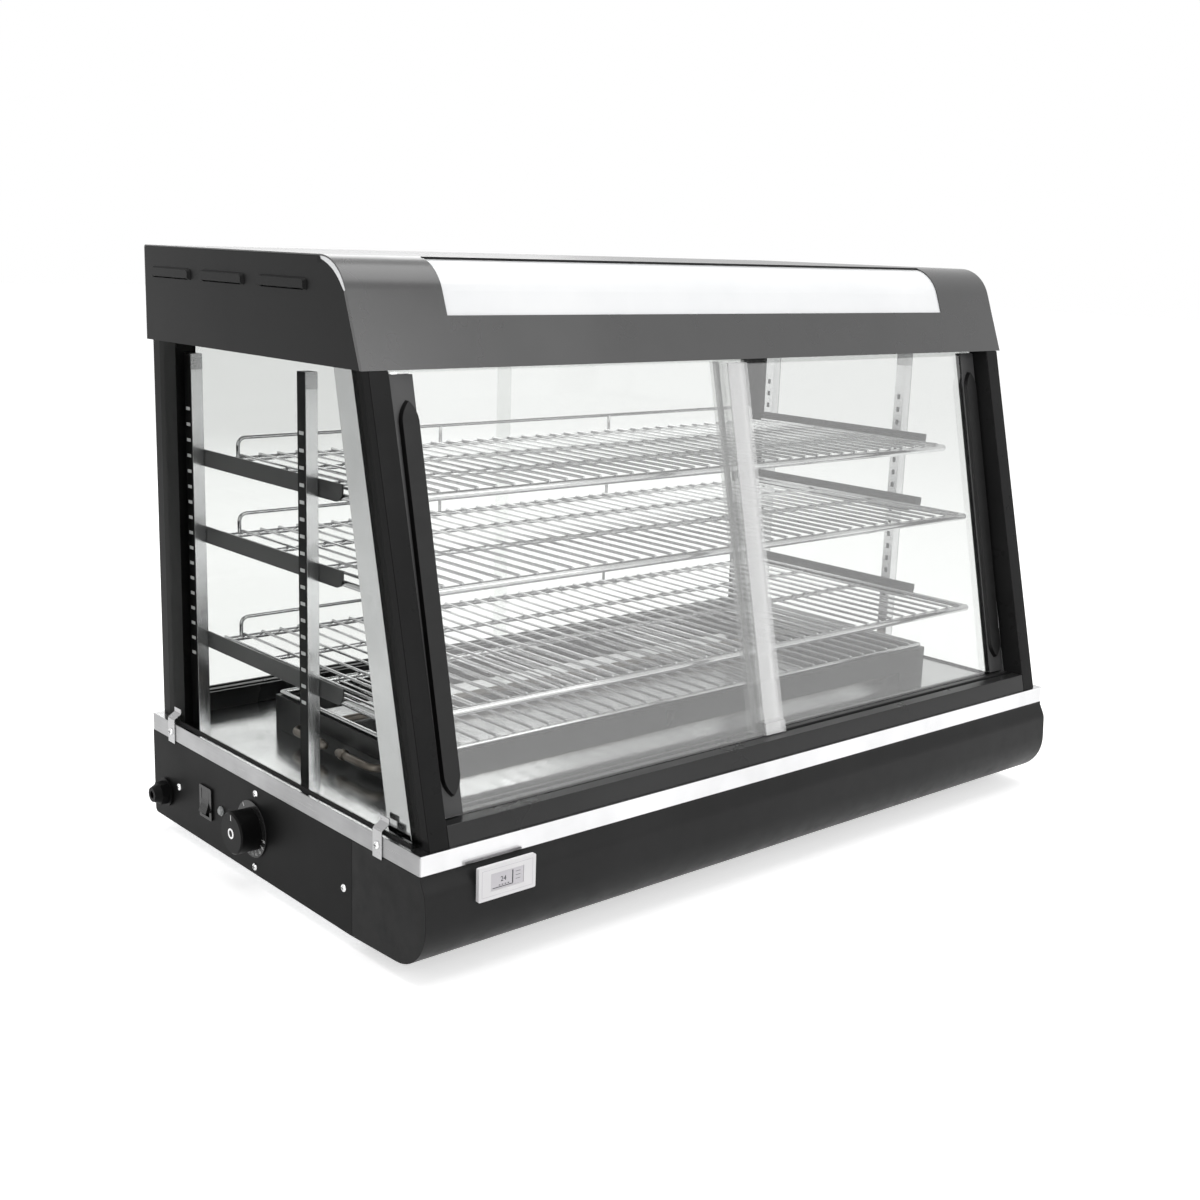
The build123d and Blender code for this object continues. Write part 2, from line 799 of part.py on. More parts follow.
# The front top rail, hidden behind the canopy's lower edge
top_rail_low = canopy_bottom + top_rail_lift
top_rail_high = canopy_bottom + top_rail_rise
sheet_clear = (sheet + seam) / cos(radians(canopy_lean)) + seam
with BuildPart() as front_top_rail:
    with BuildSketch(Plane.YZ.offset(-rail_end_x)):
        outline(
            [
                (canopy_face(top_rail_low) + sheet_clear, top_rail_low),
                (canopy_face(top_rail_high) + sheet_clear, top_rail_high),
                (door_line(top_rail_high, 1) + glass / 2 + track_gap + track_wall, top_rail_high),
                (door_line(top_rail_low, 1) + glass / 2 + track_gap + track_wall, top_rail_low),
            ],
            [0, 0, 0, 0],
        )
    extrude(amount=2 * rail_end_x)
    for track in (0, 1):
        with BuildSketch(Plane.YZ.offset(-rail_end_x)):
            slanted_strip(top_rail_low - overcut, top_rail_low + top_groove_depth, track, groove_width)
        extrude(amount=2 * rail_end_x, mode=Mode.SUBTRACT)
save(front_top_rail, "front_top_rail")


def handle_outline():
    """Fill a handle's front view: long and straight, with a pointed arch at each end."""
    half_width = handle_width / 2
    half_length = handle_length / 2
    shoulder = half_length - handle_taper
    bow_x = half_width * handle_bow
    bow_y = half_length - handle_taper * (1 - handle_bow)
    with BuildLine() as edge:
        for end in (1, -1):
            tip = (0, end * half_length)
            ThreePointArc((end * half_width, end * shoulder), (end * bow_x, end * bow_y), tip)
            ThreePointArc(tip, (-end * bow_x, end * bow_y), (-end * half_width, end * shoulder))
            Line((-end * half_width, end * shoulder), (-end * half_width, -end * shoulder))
    make_face(edge.edges())


def make_front_door(side, track):
    """Glass, gripped stile and edge seal of one front door: side -1 opens to the right."""
    outer = side * door_outer_x
    inner = -side * door_lap
    glass_low = floor_top + groove_floor + door_lift
    glass_high = top_rail_low + top_groove_depth - door_head
    strip_low = floor_top + rail_height + door_foot_gap
    strip_high = canopy_bottom - door_stile_gap
    lean = radians(door_lean)
    with BuildPart() as pane:
        with BuildSketch(Plane.YZ.offset(outer)):
            slanted_strip(glass_low, glass_high, track, glass)
        extrude(amount=inner - outer)
    with BuildPart() as stile:
        with BuildSketch(Plane.YZ.offset(outer + side * edge_wall)):
            slanted_strip(strip_low, strip_high, track, door_stile_thickness)
        extrude(amount=-side * door_stile_width)
        with BuildSketch(Plane.YZ.offset(outer)):
            slanted_strip(strip_low - overcut, strip_high + overcut, track, glass + fit_slack)
        extrude(amount=-side * door_stile_width, mode=Mode.SUBTRACT)
        middle_z = strip_high - handle_top_gap - handle_length * cos(lean) / 2
        face_y = door_line(middle_z, track) - door_stile_thickness / 2 / cos(lean)
        grip_x = outer + side * (edge_wall - door_stile_width + handle_inset + handle_width / 2)
        grip_plane = Plane((grip_x, face_y, middle_z), x_dir=(1, 0, 0), z_dir=(0, -cos(lean), sin(lean)))
        with BuildSketch(grip_plane) as grip:
            handle_outline()
        extrude(grip.sketch, amount=handle_height, taper=handle_edge_taper)
    seal_width = edge_seal_width if track == 0 else rear_seal_width
    with BuildPart() as seal:
        with BuildSketch(Plane.YZ.offset(inner - side * edge_wall)):
            slanted_strip(strip_low, strip_high, track, edge_seal_thickness)
        extrude(amount=side * seal_width)
        with BuildSketch(Plane.YZ.offset(inner)):
            slanted_strip(strip_low - overcut, strip_high + overcut, track, glass + fit_slack)
        extrude(amount=side * seal_width, mode=Mode.SUBTRACT)
    return pane, stile, seal


for door_name, door_side, door_track in (("left", -1, 0), ("right", 1, 1)):
    door_glass, door_stile, door_seal = make_front_door(door_side, door_track)
    save(door_glass, f"front_door_{door_name}_glass")
    save(door_stile, f"front_door_{door_name}_stile")
    save(door_seal, f"front_door_{door_name}_seal")


def make_rear_post(side):
    """A rear corner post: a flat black steel tube from the floor plate to the ceiling."""
    rear_y = canopy_rear_y - cover_gap
    post_depth = rear_y - post_front_y
    with BuildPart() as post:
        with BuildSketch(Plane.XY.offset(floor_top)):
            with Locations((side * (post_outer_x - post_width / 2), (post_front_y + rear_y) / 2)):
                Rectangle(post_width, post_depth)
                Rectangle(post_width - 2 * post_wall, post_depth - 2 * post_wall, mode=Mode.SUBTRACT)
        extrude(amount=ceiling_z - floor_top)
    return post


save(make_rear_post(-1), "rear_post_left")
save(make_rear_post(1), "rear_post_right")

# The rear rails, with two grooves each
rear_rail_end_x = post_outer_x - post_width - seam
rear_rail_centre_y = rear_track_y - track_pitch / 2
rear_top_low = canopy_bottom + top_rail_lift


def make_rear_rail(low, high, groove_low, groove_high):
    """A rail between the rear posts, grooved for both rear doors."""
    with BuildPart() as rail:
        with BuildSketch(Plane.YZ.offset(-rear_rail_end_x)):
            with Locations((rear_rail_centre_y, low)):
                Rectangle(rear_rail_depth, high - low, align=(Align.CENTER, Align.MIN))
            with Locations(*[(rear_track_y - track * track_pitch, groove_low) for track in (0, 1)]):
                Rectangle(
                    groove_width,
                    groove_high - groove_low,
                    align=(Align.CENTER, Align.MIN),
                    mode=Mode.SUBTRACT,
                )
        extrude(amount=2 * rear_rail_end_x)
    return rail


rear_sill_top = floor_top + rear_rail_height
rear_bottom_rail = make_rear_rail(floor_top, rear_sill_top, floor_top + groove_floor, rear_sill_top)
save(rear_bottom_rail, "rear_bottom_rail")
rear_top_rail = make_rear_rail(rear_top_low, ceiling_z, rear_top_low, rear_top_low + top_groove_depth)
save(rear_top_rail, "rear_top_rail")


def make_rear_door(side, track):
    """Glass and slim edge pull of one rear door: side -1 opens to the right."""
    outer = side * (rear_rail_end_x - door_side_gap)
    inner = -side * door_lap
    low = floor_top + groove_floor + door_lift
    high = rear_top_low + top_groove_depth - door_head
    middle_y = rear_track_y - track * track_pitch
    with BuildPart() as pane:
        with BuildSketch(Plane.YZ.offset(outer)):
            with Locations((middle_y, low)):
                Rectangle(glass, high - low, align=(Align.CENTER, Align.MIN))
        extrude(amount=inner - outer)
    face_y = middle_y + glass / 2
    rib_x = outer - side * (rear_pull_width - rear_pull_rib)
    rib_end_x = outer - side * rear_pull_width
    with BuildPart() as pull:
        with BuildSketch(Plane.XY.offset(rear_pull_z - rear_pull_length / 2)):
            outline(
                [
                    (outer, face_y),
                    (rib_end_x, face_y),
                    (rib_end_x, face_y + rear_pull_height),
                    (rib_x, face_y + rear_pull_height),
                    (rib_x, face_y + rear_pull_base),
                    (outer, face_y + rear_pull_base),
                ],
                [0, 0, 0, 0, 0, 0],
            )
        extrude(amount=rear_pull_length)
    return pane, pull


for door_name, door_side, door_track in (("left", -1, 0), ("right", 1, 1)):
    rear_glass, rear_pull = make_rear_door(door_side, door_track)
    save(rear_glass, f"rear_door_{door_name}_glass")
    save(rear_pull, f"rear_door_{door_name}_pull")


def make_side_glass(side):
    """A side pane: square at the rear post, cut to the front's lean in front."""
    top = canopy_bottom + glass_into_canopy
    with BuildPart() as pane:
        with BuildSketch(Plane.YZ.offset(side * glass_outer_x)):
            outline(
                [
                    (glass_rear_y, floor_top),
                    (glass_rear_y, top),
                    (front_face(top) + glass_front_lap, top),
                    (front_y + glass_front_lap, floor_top),
                ],
                [0, 0, 0, 0],
            )
        extrude(amount=-side * glass)
    return pane


save(make_side_glass(-1), "side_glass_left")
save(make_side_glass(1), "side_glass_right")


def make_mirror_liner(side):
    """The polished strip behind a front stile, a little wider at its foot."""
    top = canopy_bottom + glass_into_canopy
    with BuildPart() as liner:
        with BuildSketch(Plane.YZ.offset(side * post_outer_x)):
            outline(
                [
                    (front_y + stile_depth + seam, floor_top),
                    (front_y + stile_depth + liner_bottom_depth, floor_top),
                    (front_face(top) + stile_depth + liner_top_depth, top),
                    (front_face(top) + stile_depth + seam, top),
                ],
                [0, 0, 0, 0],
            )
        extrude(amount=-side * sheet)
    return liner


save(make_mirror_liner(-1), "mirror_liner_left")
save(make_mirror_liner(1), "mirror_liner_right")


def make_upright(side, middle_y):
    """A slotted channel that the shelf rails hook into, open towards the side glass."""
    height = display_height - upright_top_gap
    with BuildPart() as upright:
        with BuildSketch(Plane.XY.offset(floor_top)):
            with Locations((side * (upright_inner_x + upright_width / 2), middle_y)):
                Rectangle(upright_width, upright_depth)
            with Locations((side * (upright_inner_x + upright_wall + upright_width / 2), middle_y)):
                Rectangle(upright_width, upright_depth - 2 * upright_wall, mode=Mode.SUBTRACT)
        extrude(amount=height)
        slot_places = [(middle_y, first_slot_z + number * slot_pitch) for number in range(slot_count)]
        with BuildSketch(Plane.YZ.offset(side * upright_inner_x)):
            with Locations(*slot_places):
                Rectangle(slot_width, slot_height)
        extrude(amount=side * upright_wall, mode=Mode.SUBTRACT)
    return upright


for upright_name, upright_y in (("front", front_upright_y), ("rear", rear_upright_y)):
    save(make_upright(-1, upright_y), f"{upright_name}_upright_left")
    save(make_upright(1, upright_y), f"{upright_name}_upright_right")

# Each shelf hangs on a pair of rails with hooks in the uprights' slots
rail_face_x = upright_inner_x - seam
ledge_x = rail_face_x - shelf_rail_sheet
ledge_front_y = rail_front_y + rail_tip_radius


def rail_top(level):
    """The top of the shelf rails at one level."""
    return first_slot_z + shelf_slots[level] * slot_pitch + rail_top_above_slot


def make_shelf_rails(level):
    """The left and right rail of one shelf: an angle with a rounded tip and two hooks."""
    top = rail_top(level)
    low = top - shelf_rail_height
    slot_z = first_slot_z + shelf_slots[level] * slot_pitch
    with BuildPart() as rails:
        for side in (-1, 1):
            with BuildSketch(Plane.YZ.offset(side * rail_face_x)):
                outline(
                    [(rail_front_y, top), (rail_front_y, low), (rail_rear_y, low), (rail_rear_y, top)],
                    [0, rail_tip_radius, 0, 0],
                )
            extrude(amount=-side * shelf_rail_sheet)
            with BuildSketch(Plane.XY.offset(low)):
                with Locations((side * (ledge_x - shelf_ledge / 2), (ledge_front_y + rail_rear_y) / 2)):
                    Rectangle(shelf_ledge + shelf_rail_sheet, rail_rear_y - ledge_front_y)
            extrude(amount=shelf_rail_sheet)
            hook_top = slot_z + hook_height / 2
            hook_low = slot_z - hook_height / 2
            hook_x = side * (rail_face_x + hook_out)
            hook_end_x = side * (rail_face_x + hook_out + shelf_rail_sheet)
            for upright_y in (front_upright_y, rear_upright_y):
                with BuildSketch(Plane.XZ.offset(-upright_y)):
                    outline(
                        [
                            (side * rail_face_x, hook_top),
                            (hook_end_x, hook_top),
                            (hook_end_x, hook_low - hook_drop),
                            (hook_x, hook_low - hook_drop),
                            (hook_x, hook_low),
                            (side * rail_face_x, hook_low),
                        ],
                        [0, 0, 0, 0, 0, 0],
                    )
                extrude(amount=hook_width / 2, both=True)
    return rails


def rod_along_x(half_length, y, z, radius):
    """Add an eight-sided rod that runs across the object."""
    with BuildSketch(Plane.YZ.offset(-half_length)) as section:
        with Locations((y, z)):
            RegularPolygon(radius, rod_sides)
    extrude(section.sketch, amount=2 * half_length)


def rod_along_y(x, front, rear, z, radius):
    """Add an eight-sided rod that runs from front to rear."""
    with BuildSketch(Plane.XZ.offset(-rear)) as section:
        with Locations((x, z)):
            RegularPolygon(radius, rod_sides)
    extrude(section.sketch, amount=rear - front)


def wire_row(half_width, front, rear, bottom):
    """Add the row of thin wires that lie across a frame's rods, drawn six-sided."""
    across = wire_radius * cos(pi / wire_sides)
    count = int((2 * half_width) / wire_pitch)
    with BuildSketch(Plane.XZ.offset(-rear)) as sections:
        with Locations((0, bottom + across)):
            with GridLocations(wire_pitch, 1, count, 1):
                RegularPolygon(wire_radius, wire_sides)
    extrude(sections.sketch, amount=rear - front)


def make_shelf(level):
    """A welded wire shelf: a rod frame, a row of wires on top and a guard wire at the rear."""
    rod_top = rail_top(level) - shelf_rail_height + shelf_rail_sheet + 2 * frame_rod_radius + wire_seat
    side_x = ledge_x - shelf_side_gap - frame_rod_radius
    front = shelf_front_y[level]
    with BuildPart() as shelf:
        rod_along_x(side_x + frame_rod_radius, front, rod_top - front_rod_radius, front_rod_radius)
        rod_along_x(side_x + frame_rod_radius, shelf_rear_y, rod_top - frame_rod_radius, frame_rod_radius)
        for side in (-1, 1):
            rod_along_y(side * side_x, front, shelf_rear_y, rod_top - frame_rod_radius, frame_rod_radius)
        for place in cross_rod_places:
            rod_along_x(side_x, place, rod_top - cross_rod_radius, cross_rod_radius)
        with BuildLine(Plane.XZ.offset(-shelf_rear_y)) as guard:
            FilletPolyline(
                (-guard_wire_span, rod_top - frame_rod_radius),
                (-guard_wire_span, rod_top + guard_wire_rise),
                (guard_wire_span, rod_top + guard_wire_rise),
                (guard_wire_span, rod_top - frame_rod_radius),
                radius=guard_wire_radius_bend,
            )
        with BuildSketch(Plane((-guard_wire_span, shelf_rear_y, rod_top - frame_rod_radius))):
            RegularPolygon(guard_wire_radius, wire_sides)
        sweep(path=guard.wires()[0])
        for stay in (-guard_wire_span / 3, guard_wire_span / 3):
            with BuildSketch(Plane.XY.offset(rod_top - frame_rod_radius)):
                with Locations((stay, shelf_rear_y)):
                    RegularPolygon(guard_wire_radius, wire_sides)
            extrude(amount=guard_wire_rise + frame_rod_radius)
        wire_row(side_x, front - wire_end, shelf_rear_y - guard_wire_radius - wire_seat, rod_top + wire_seat)
    return shelf


for shelf_level, shelf_name in enumerate(shelf_names):
    save(make_shelf_rails(shelf_level), f"{shelf_name}_shelf_rails")
    save(make_shelf(shelf_level), f"{shelf_name}_shelf")

# The heater guard: a folded steel box without top or bottom, standing on its four corners
guard_top = floor_top + guard_height
guard_middle_y = (guard_front_y + guard_rear_y) / 2
guard_depth = guard_rear_y - guard_front_y
heater_z = floor_top + heater_height
with BuildPart() as heater_guard:
    with BuildSketch(Plane.XY.offset(floor_top)):
        with Locations((0, guard_middle_y)):
            Rectangle(2 * guard_half_width, guard_depth)
            Rectangle(2 * (guard_half_width - sheet), guard_depth - 2 * sheet, mode=Mode.SUBTRACT)
    extrude(amount=guard_height)
    with BuildSketch(Plane.XY.offset(guard_top - sheet)):
        with Locations((0, guard_middle_y)):
            Rectangle(2 * guard_half_width, guard_depth)
            Rectangle(
                2 * (guard_half_width - guard_flange),
                guard_depth - 2 * guard_flange,
                mode=Mode.SUBTRACT,
            )
    extrude(amount=sheet)
    with BuildSketch(Plane.XZ.offset(-guard_rear_y)):
        with Locations((0, floor_top)):
            Rectangle(2 * (guard_half_width - guard_leg), guard_clear, align=(Align.CENTER, Align.MIN))
    extrude(amount=guard_depth, mode=Mode.SUBTRACT)
    with BuildSketch(Plane.YZ.offset(-guard_half_width)):
        with Locations((-heater_half_depth, heater_z), (heater_half_depth, heater_z)):
            Circle(heater_radius + heater_hole_clearance)
    extrude(amount=2 * guard_half_width, mode=Mode.SUBTRACT)
save(heater_guard, "heater_guard")

with BuildPart() as guard_rack:
    rack_half = guard_half_width - rack_inset
    rack_front = guard_front_y + rack_inset
    rack_rear = guard_rear_y - rack_inset
    rack_top = guard_top + 2 * rack_rod_radius + wire_seat
    for rod_y in (rack_front, rack_rear):
        rod_along_x(rack_half, rod_y, rack_top - rack_rod_radius, rack_rod_radius)
    for side in (-1, 1):
        rod_along_y(side * rack_half, rack_front, rack_rear, rack_top - rack_rod_radius, rack_rod_radius)
    wire_row(rack_half, rack_front - wire_end / 2, rack_rear + wire_end / 2, rack_top + wire_seat)
save(guard_rack, "guard_rack")

# The tubular heater: one loop whose ends bend round outside the guard's end plates
heater_x = guard_half_width + heater_reach
with BuildPart() as heater_element:
    with BuildLine(Plane.XY.offset(heater_z)) as heater_path:
        FilletPolyline(
            (-heater_x, heater_end_gap),
            (-heater_x, heater_half_depth),
            (heater_x, heater_half_depth),
            (heater_x, -heater_half_depth),
            (-heater_x, -heater_half_depth),
            (-heater_x, -heater_end_gap),
            radius=heater_bend,
        )
    with BuildSketch(Plane((-heater_x, heater_end_gap, heater_z), x_dir=(1, 0, 0), z_dir=(0, 1, 0))):
        RegularPolygon(heater_radius, heater_sides)
    sweep(path=heater_path.wires()[0])
    for end in (-1, 1):
        cap = Plane((-heater_x, end * (heater_end_gap + heater_cap_length), heater_z), z_dir=(0, -end, 0))
        with BuildSketch(cap):
            RegularPolygon(heater_cap_radius, heater_sides)
        extrude(amount=heater_cap_length / 2)
save(heater_element, "heater_element")

# The canopy: roof, curved front and rear in one sheet, with a window for the sign
with BuildPart() as canopy_shell:
    with BuildSketch(Plane.YZ.offset(-canopy_half_width)):
        canopy_outline(0, 0, 0, canopy_bottom)
    extrude(amount=2 * canopy_half_width)
    with BuildSketch(Plane.YZ.offset(-canopy_half_width + sheet)):
        canopy_outline(sheet, sheet, sheet, canopy_bottom - overcut)
    extrude(amount=2 * (canopy_half_width - sheet), mode=Mode.SUBTRACT)
    with BuildSketch(Plane.YZ.offset(-canopy_half_width)):
        canopy_outline(fascia_reveal, sheet, sheet, canopy_bottom - overcut)
    extrude(amount=2 * canopy_half_width, mode=Mode.SUBTRACT)
    with BuildSketch(Plane.XZ.offset(-sign_rear_y)):
        with Locations((0, canopy_bottom + sign_bottom)):
            Rectangle(2 * sign_half_width, canopy_height, align=(Align.CENTER, Align.MIN))
    extrude(amount=depth, mode=Mode.SUBTRACT)
save(canopy_shell, "canopy_shell")


def make_canopy_end(side):
    """A flat end panel of the canopy with three pressed louvres near its top."""
    face = Plane.YZ.offset(side * canopy_half_width)
    inner_face = Plane.YZ.offset(side * (canopy_half_width - sheet))
    middle_z = canopy_top - louvre_drop + louvre_height / 2
    places = [(y, middle_z) for y in louvre_places]
    corner = louvre_corner
    with BuildPart() as panel:
        with BuildSketch(face):
            canopy_outline(fascia_reveal + end_gap, sheet + seam, sheet + seam, canopy_bottom)
        extrude(amount=-side * sheet)
        for place in places:
            half_length = louvre_length / 2
            half_height = louvre_height / 2
            with BuildSketch(face):
                outline(
                    [
                        (place[0] - half_length, place[1] - half_height),
                        (place[0] + half_length, place[1] - half_height),
                        (place[0] + half_length, place[1] + half_height),
                        (place[0] - half_length, place[1] + half_height),
                    ],
                    [0, 0, corner, corner],
                )
            extrude(amount=side * louvre_depth, taper=louvre_slope)
            with BuildSketch(inner_face):
                with Locations((place[0], place[1] - half_height)):
                    Rectangle(
                        louvre_length - 2 * corner,
                        louvre_height - corner,
                        align=(Align.CENTER, Align.MIN),
                    )
            extrude(amount=side * (sheet + louvre_depth - louvre_wall), mode=Mode.SUBTRACT)
    return panel


save(make_canopy_end(-1), "canopy_end_left")
save(make_canopy_end(1), "canopy_end_right")

# The curved sign panel behind the window, a bent sheet of white acrylic
with BuildPart() as sign_panel:
    behind_sheet = sheet + seam
    sign_inner = behind_sheet + sign_thickness
    with BuildSketch(Plane.YZ.offset(-sign_half_width - sign_lap)):
        canopy_outline(behind_sheet, behind_sheet, behind_sheet, canopy_bottom)
    extrude(amount=2 * (sign_half_width + sign_lap))
    with BuildSketch(Plane.YZ.offset(-sign_half_width - sign_lap)):
        canopy_outline(sign_inner, sign_inner, sign_inner, canopy_bottom - overcut)
    extrude(amount=2 * (sign_half_width + sign_lap), mode=Mode.SUBTRACT)
    with BuildSketch(Plane.YZ.offset(-sign_half_width - sign_lap)):
        with Locations((sign_rear_y + sign_lap, canopy_bottom)):
            Rectangle(depth, canopy_height, align=(Align.MIN, Align.MIN))
        with Locations((sign_rear_y + sign_lap, canopy_bottom)):
            Rectangle(depth, sign_bottom - sign_lap, align=(Align.MAX, Align.MIN))
    extrude(amount=2 * (sign_half_width + sign_lap), mode=Mode.SUBTRACT)
save(sign_panel, "sign_panel")

# The ceiling plate closes the canopy from below, with a window under the lamp
ceiling_front_y = canopy_face(ceiling_z + sheet) + sheet_clear
ceiling_rear_y = canopy_rear_y - cover_gap
with BuildPart() as ceiling_plate:
    with BuildSketch(Plane.XY.offset(ceiling_z)):
        with Locations((0, (ceiling_front_y + ceiling_rear_y) / 2)):
            Rectangle(2 * post_outer_x, ceiling_rear_y - ceiling_front_y)
        with Locations((0, lamp_y)):
            Rectangle(2 * lamp_half_length - lamp_window, lamp_window, mode=Mode.SUBTRACT)
    extrude(amount=sheet)
save(ceiling_plate, "ceiling_plate")

# The lamp tube and its two holders on the ceiling plate
lamp_z = ceiling_z + sheet + lamp_rise
with BuildPart() as lamp_tube:
    with BuildSketch(Plane.YZ.offset(-lamp_half_length)):
        with Locations((lamp_y, lamp_z)):
            Circle(lamp_radius)
    extrude(amount=2 * lamp_half_length)
save(lamp_tube, "lamp_tube")

with BuildPart() as lamp_holders:
    for side in (-1, 1):
        with BuildSketch(Plane.YZ.offset(side * (lamp_half_length - holder_grip))):
            with Locations((lamp_y, ceiling_z + sheet)):
                Rectangle(holder_depth, lamp_rise, align=(Align.CENTER, Align.MIN))
            with Locations((lamp_y, lamp_z)):
                Circle(holder_depth / 2)
        extrude(amount=side * holder_width)
        with BuildSketch(Plane.YZ.offset(side * (lamp_half_length - holder_grip))):
            with Locations((lamp_y, lamp_z)):
                Circle(lamp_radius + screw_hole_clearance)
        extrude(amount=side * (holder_grip + screw_hole_clearance), mode=Mode.SUBTRACT)
save(lamp_holders, "lamp_holders")
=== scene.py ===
import math

import bmesh
import bpy
from mathutils import Matrix, Vector


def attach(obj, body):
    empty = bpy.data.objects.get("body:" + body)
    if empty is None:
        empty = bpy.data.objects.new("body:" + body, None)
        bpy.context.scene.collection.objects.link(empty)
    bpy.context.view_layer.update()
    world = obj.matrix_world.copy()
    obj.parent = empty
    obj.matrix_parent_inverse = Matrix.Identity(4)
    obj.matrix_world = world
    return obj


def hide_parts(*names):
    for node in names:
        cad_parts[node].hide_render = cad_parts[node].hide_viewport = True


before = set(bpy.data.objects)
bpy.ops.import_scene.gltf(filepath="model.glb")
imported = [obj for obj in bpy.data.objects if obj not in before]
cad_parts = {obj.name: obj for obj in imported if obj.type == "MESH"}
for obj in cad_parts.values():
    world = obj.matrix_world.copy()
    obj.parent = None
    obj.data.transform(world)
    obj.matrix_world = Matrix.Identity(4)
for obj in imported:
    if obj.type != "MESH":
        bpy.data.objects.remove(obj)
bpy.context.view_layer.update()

# Sizes in millimetres, as in the part's source, about the middle of the floor plate.
# SHIFT brings them into the frame that the solids are packed in.
MM = 0.001
SHIFT = Vector((9.775, 6.115, 0.0))
WIDTH = 900.0
FLOOR_TOP = 122.0
CANOPY_BOTTOM = 514.6
CANOPY_TOP = 607.4
FRONT_Y = -245.0
FRONT_LEAN = math.radians(13.5)
DOOR_LEAN = math.radians(12.4)
CANOPY_LEAN = math.radians(20.4)
CANOPY_RADIUS = 43.0
CANOPY_HALF_WIDTH = 444.0
GLASS_OUTER_X = 442.3
DIAL_Y = 36.5
DIAL_Z = 58.0
THERMOMETER_FACE_Y = -260.73
DOOR_SETBACK = 17.0
TRACK_STEP = 13.0
UPRIGHT_PLACES = {"front": -28.0, "rear": 191.0}
UPRIGHT_HALF_DEPTH = 7.0
UPRIGHT_INNER_X = 416.5
UPRIGHT_OUTER_X = 429.0


def door_line(z, track):
    """The middle of a front door's glass at height z."""
    return FRONT_Y + DOOR_SETBACK + (z - FLOOR_TOP) * math.tan(DOOR_LEAN) + track * TRACK_STEP


CANOPY_FRONT_Y = FRONT_Y + (CANOPY_BOTTOM - FLOOR_TOP) * math.tan(FRONT_LEAN)


def canopy_face(z):
    """The canopy's front sheet at height z, below its curve."""
    return CANOPY_FRONT_Y + (z - CANOPY_BOTTOM) * math.tan(CANOPY_LEAN)


# Materials

# The middle range of a noise pattern, the grain's depth in metres and how fast a sheen falls off
PATTERN_LOW = 0.3
PATTERN_HIGH = 0.7
GRAIN_DEPTH = 0.0002
SHEEN_FALLOFF = 4.0


def material(name, color, roughness, metallic=0.0):
    """A new node material with one Principled shader, and its pieces for further wiring."""
    mat = bpy.data.materials.new(name)
    mat.use_nodes = True
    nodes = mat.node_tree.nodes
    shader = nodes["Principled BSDF"]
    shader.inputs["Base Color"].default_value = (*color, 1.0)
    shader.inputs["Roughness"].default_value = roughness
    shader.inputs["Metallic"].default_value = metallic
    return mat, nodes, mat.node_tree.links, shader


def coordinates(nodes, links, stretch=(1.0, 1.0, 1.0)):
    """Object coordinates, stretched so that a pattern runs longer along one way."""
    place = nodes.new("ShaderNodeTexCoord")
    scale = nodes.new("ShaderNodeMapping")
    scale.inputs["Scale"].default_value = stretch
    links.new(place.outputs["Object"], scale.inputs["Vector"])
    return scale.outputs["Vector"]


def noise(nodes, links, vector, scale, detail=3.0, rough=0.5):
    """A noise pattern of the given scale."""
    pattern = nodes.new("ShaderNodeTexNoise")
    pattern.inputs["Scale"].default_value = scale
    pattern.inputs["Detail"].default_value = detail
    pattern.inputs["Roughness"].default_value = rough
    links.new(vector, pattern.inputs["Vector"])
    return pattern.outputs["Fac"]


def span(nodes, links, value, low, high):
    """The pattern's middle range, spread between two values."""
    step = nodes.new("ShaderNodeMapRange")
    step.inputs["From Min"].default_value = PATTERN_LOW
    step.inputs["From Max"].default_value = PATTERN_HIGH
    step.inputs["To Min"].default_value = low
    step.inputs["To Max"].default_value = high
    links.new(value, step.inputs["Value"])
    return step.outputs["Result"]


def tint(nodes, links, value, dark, light):
    """A colour between dark and light, led by a pattern."""
    ramp = nodes.new("ShaderNodeValToRGB")
    ramp.color_ramp.elements[0].position = PATTERN_LOW
    ramp.color_ramp.elements[0].color = (*dark, 1.0)
    ramp.color_ramp.elements[1].position = PATTERN_HIGH
    ramp.color_ramp.elements[1].color = (*light, 1.0)
    links.new(value, ramp.inputs["Fac"])
    return ramp.outputs["Color"]


def relief(nodes, links, shader, value, strength):
    """A bump from a pattern."""
    bump = nodes.new("ShaderNodeBump")
    bump.inputs["Strength"].default_value = strength
    bump.inputs["Distance"].default_value = GRAIN_DEPTH
    links.new(value, bump.inputs["Height"])
    links.new(bump.outputs["Normal"], shader.inputs["Normal"])


def grey(level):
    """A neutral colour of one linear level, with a touch more blue."""
    return (level, level, level * 1.01)


def coated(name, dark, light, rough_low, rough_high, grain=900.0, strength=0.12, sheen=0.5):
    """Sprayed or moulded surface: cloudy colour, patchy gloss and a fine orange-peel grain."""
    mat, nodes, links, shader = material(name, dark, rough_low)
    shader.inputs["Specular IOR Level"].default_value = sheen
    vector = coordinates(nodes, links)
    clouds = noise(nodes, links, vector, scale=7.0, detail=4.0, rough=0.6)
    links.new(tint(nodes, links, clouds, dark, light), shader.inputs["Base Color"])
    links.new(span(nodes, links, clouds, rough_low, rough_high), shader.inputs["Roughness"])
    peel = noise(nodes, links, vector, grain, detail=2.0)
    relief(nodes, links, shader, peel, strength)
    return mat


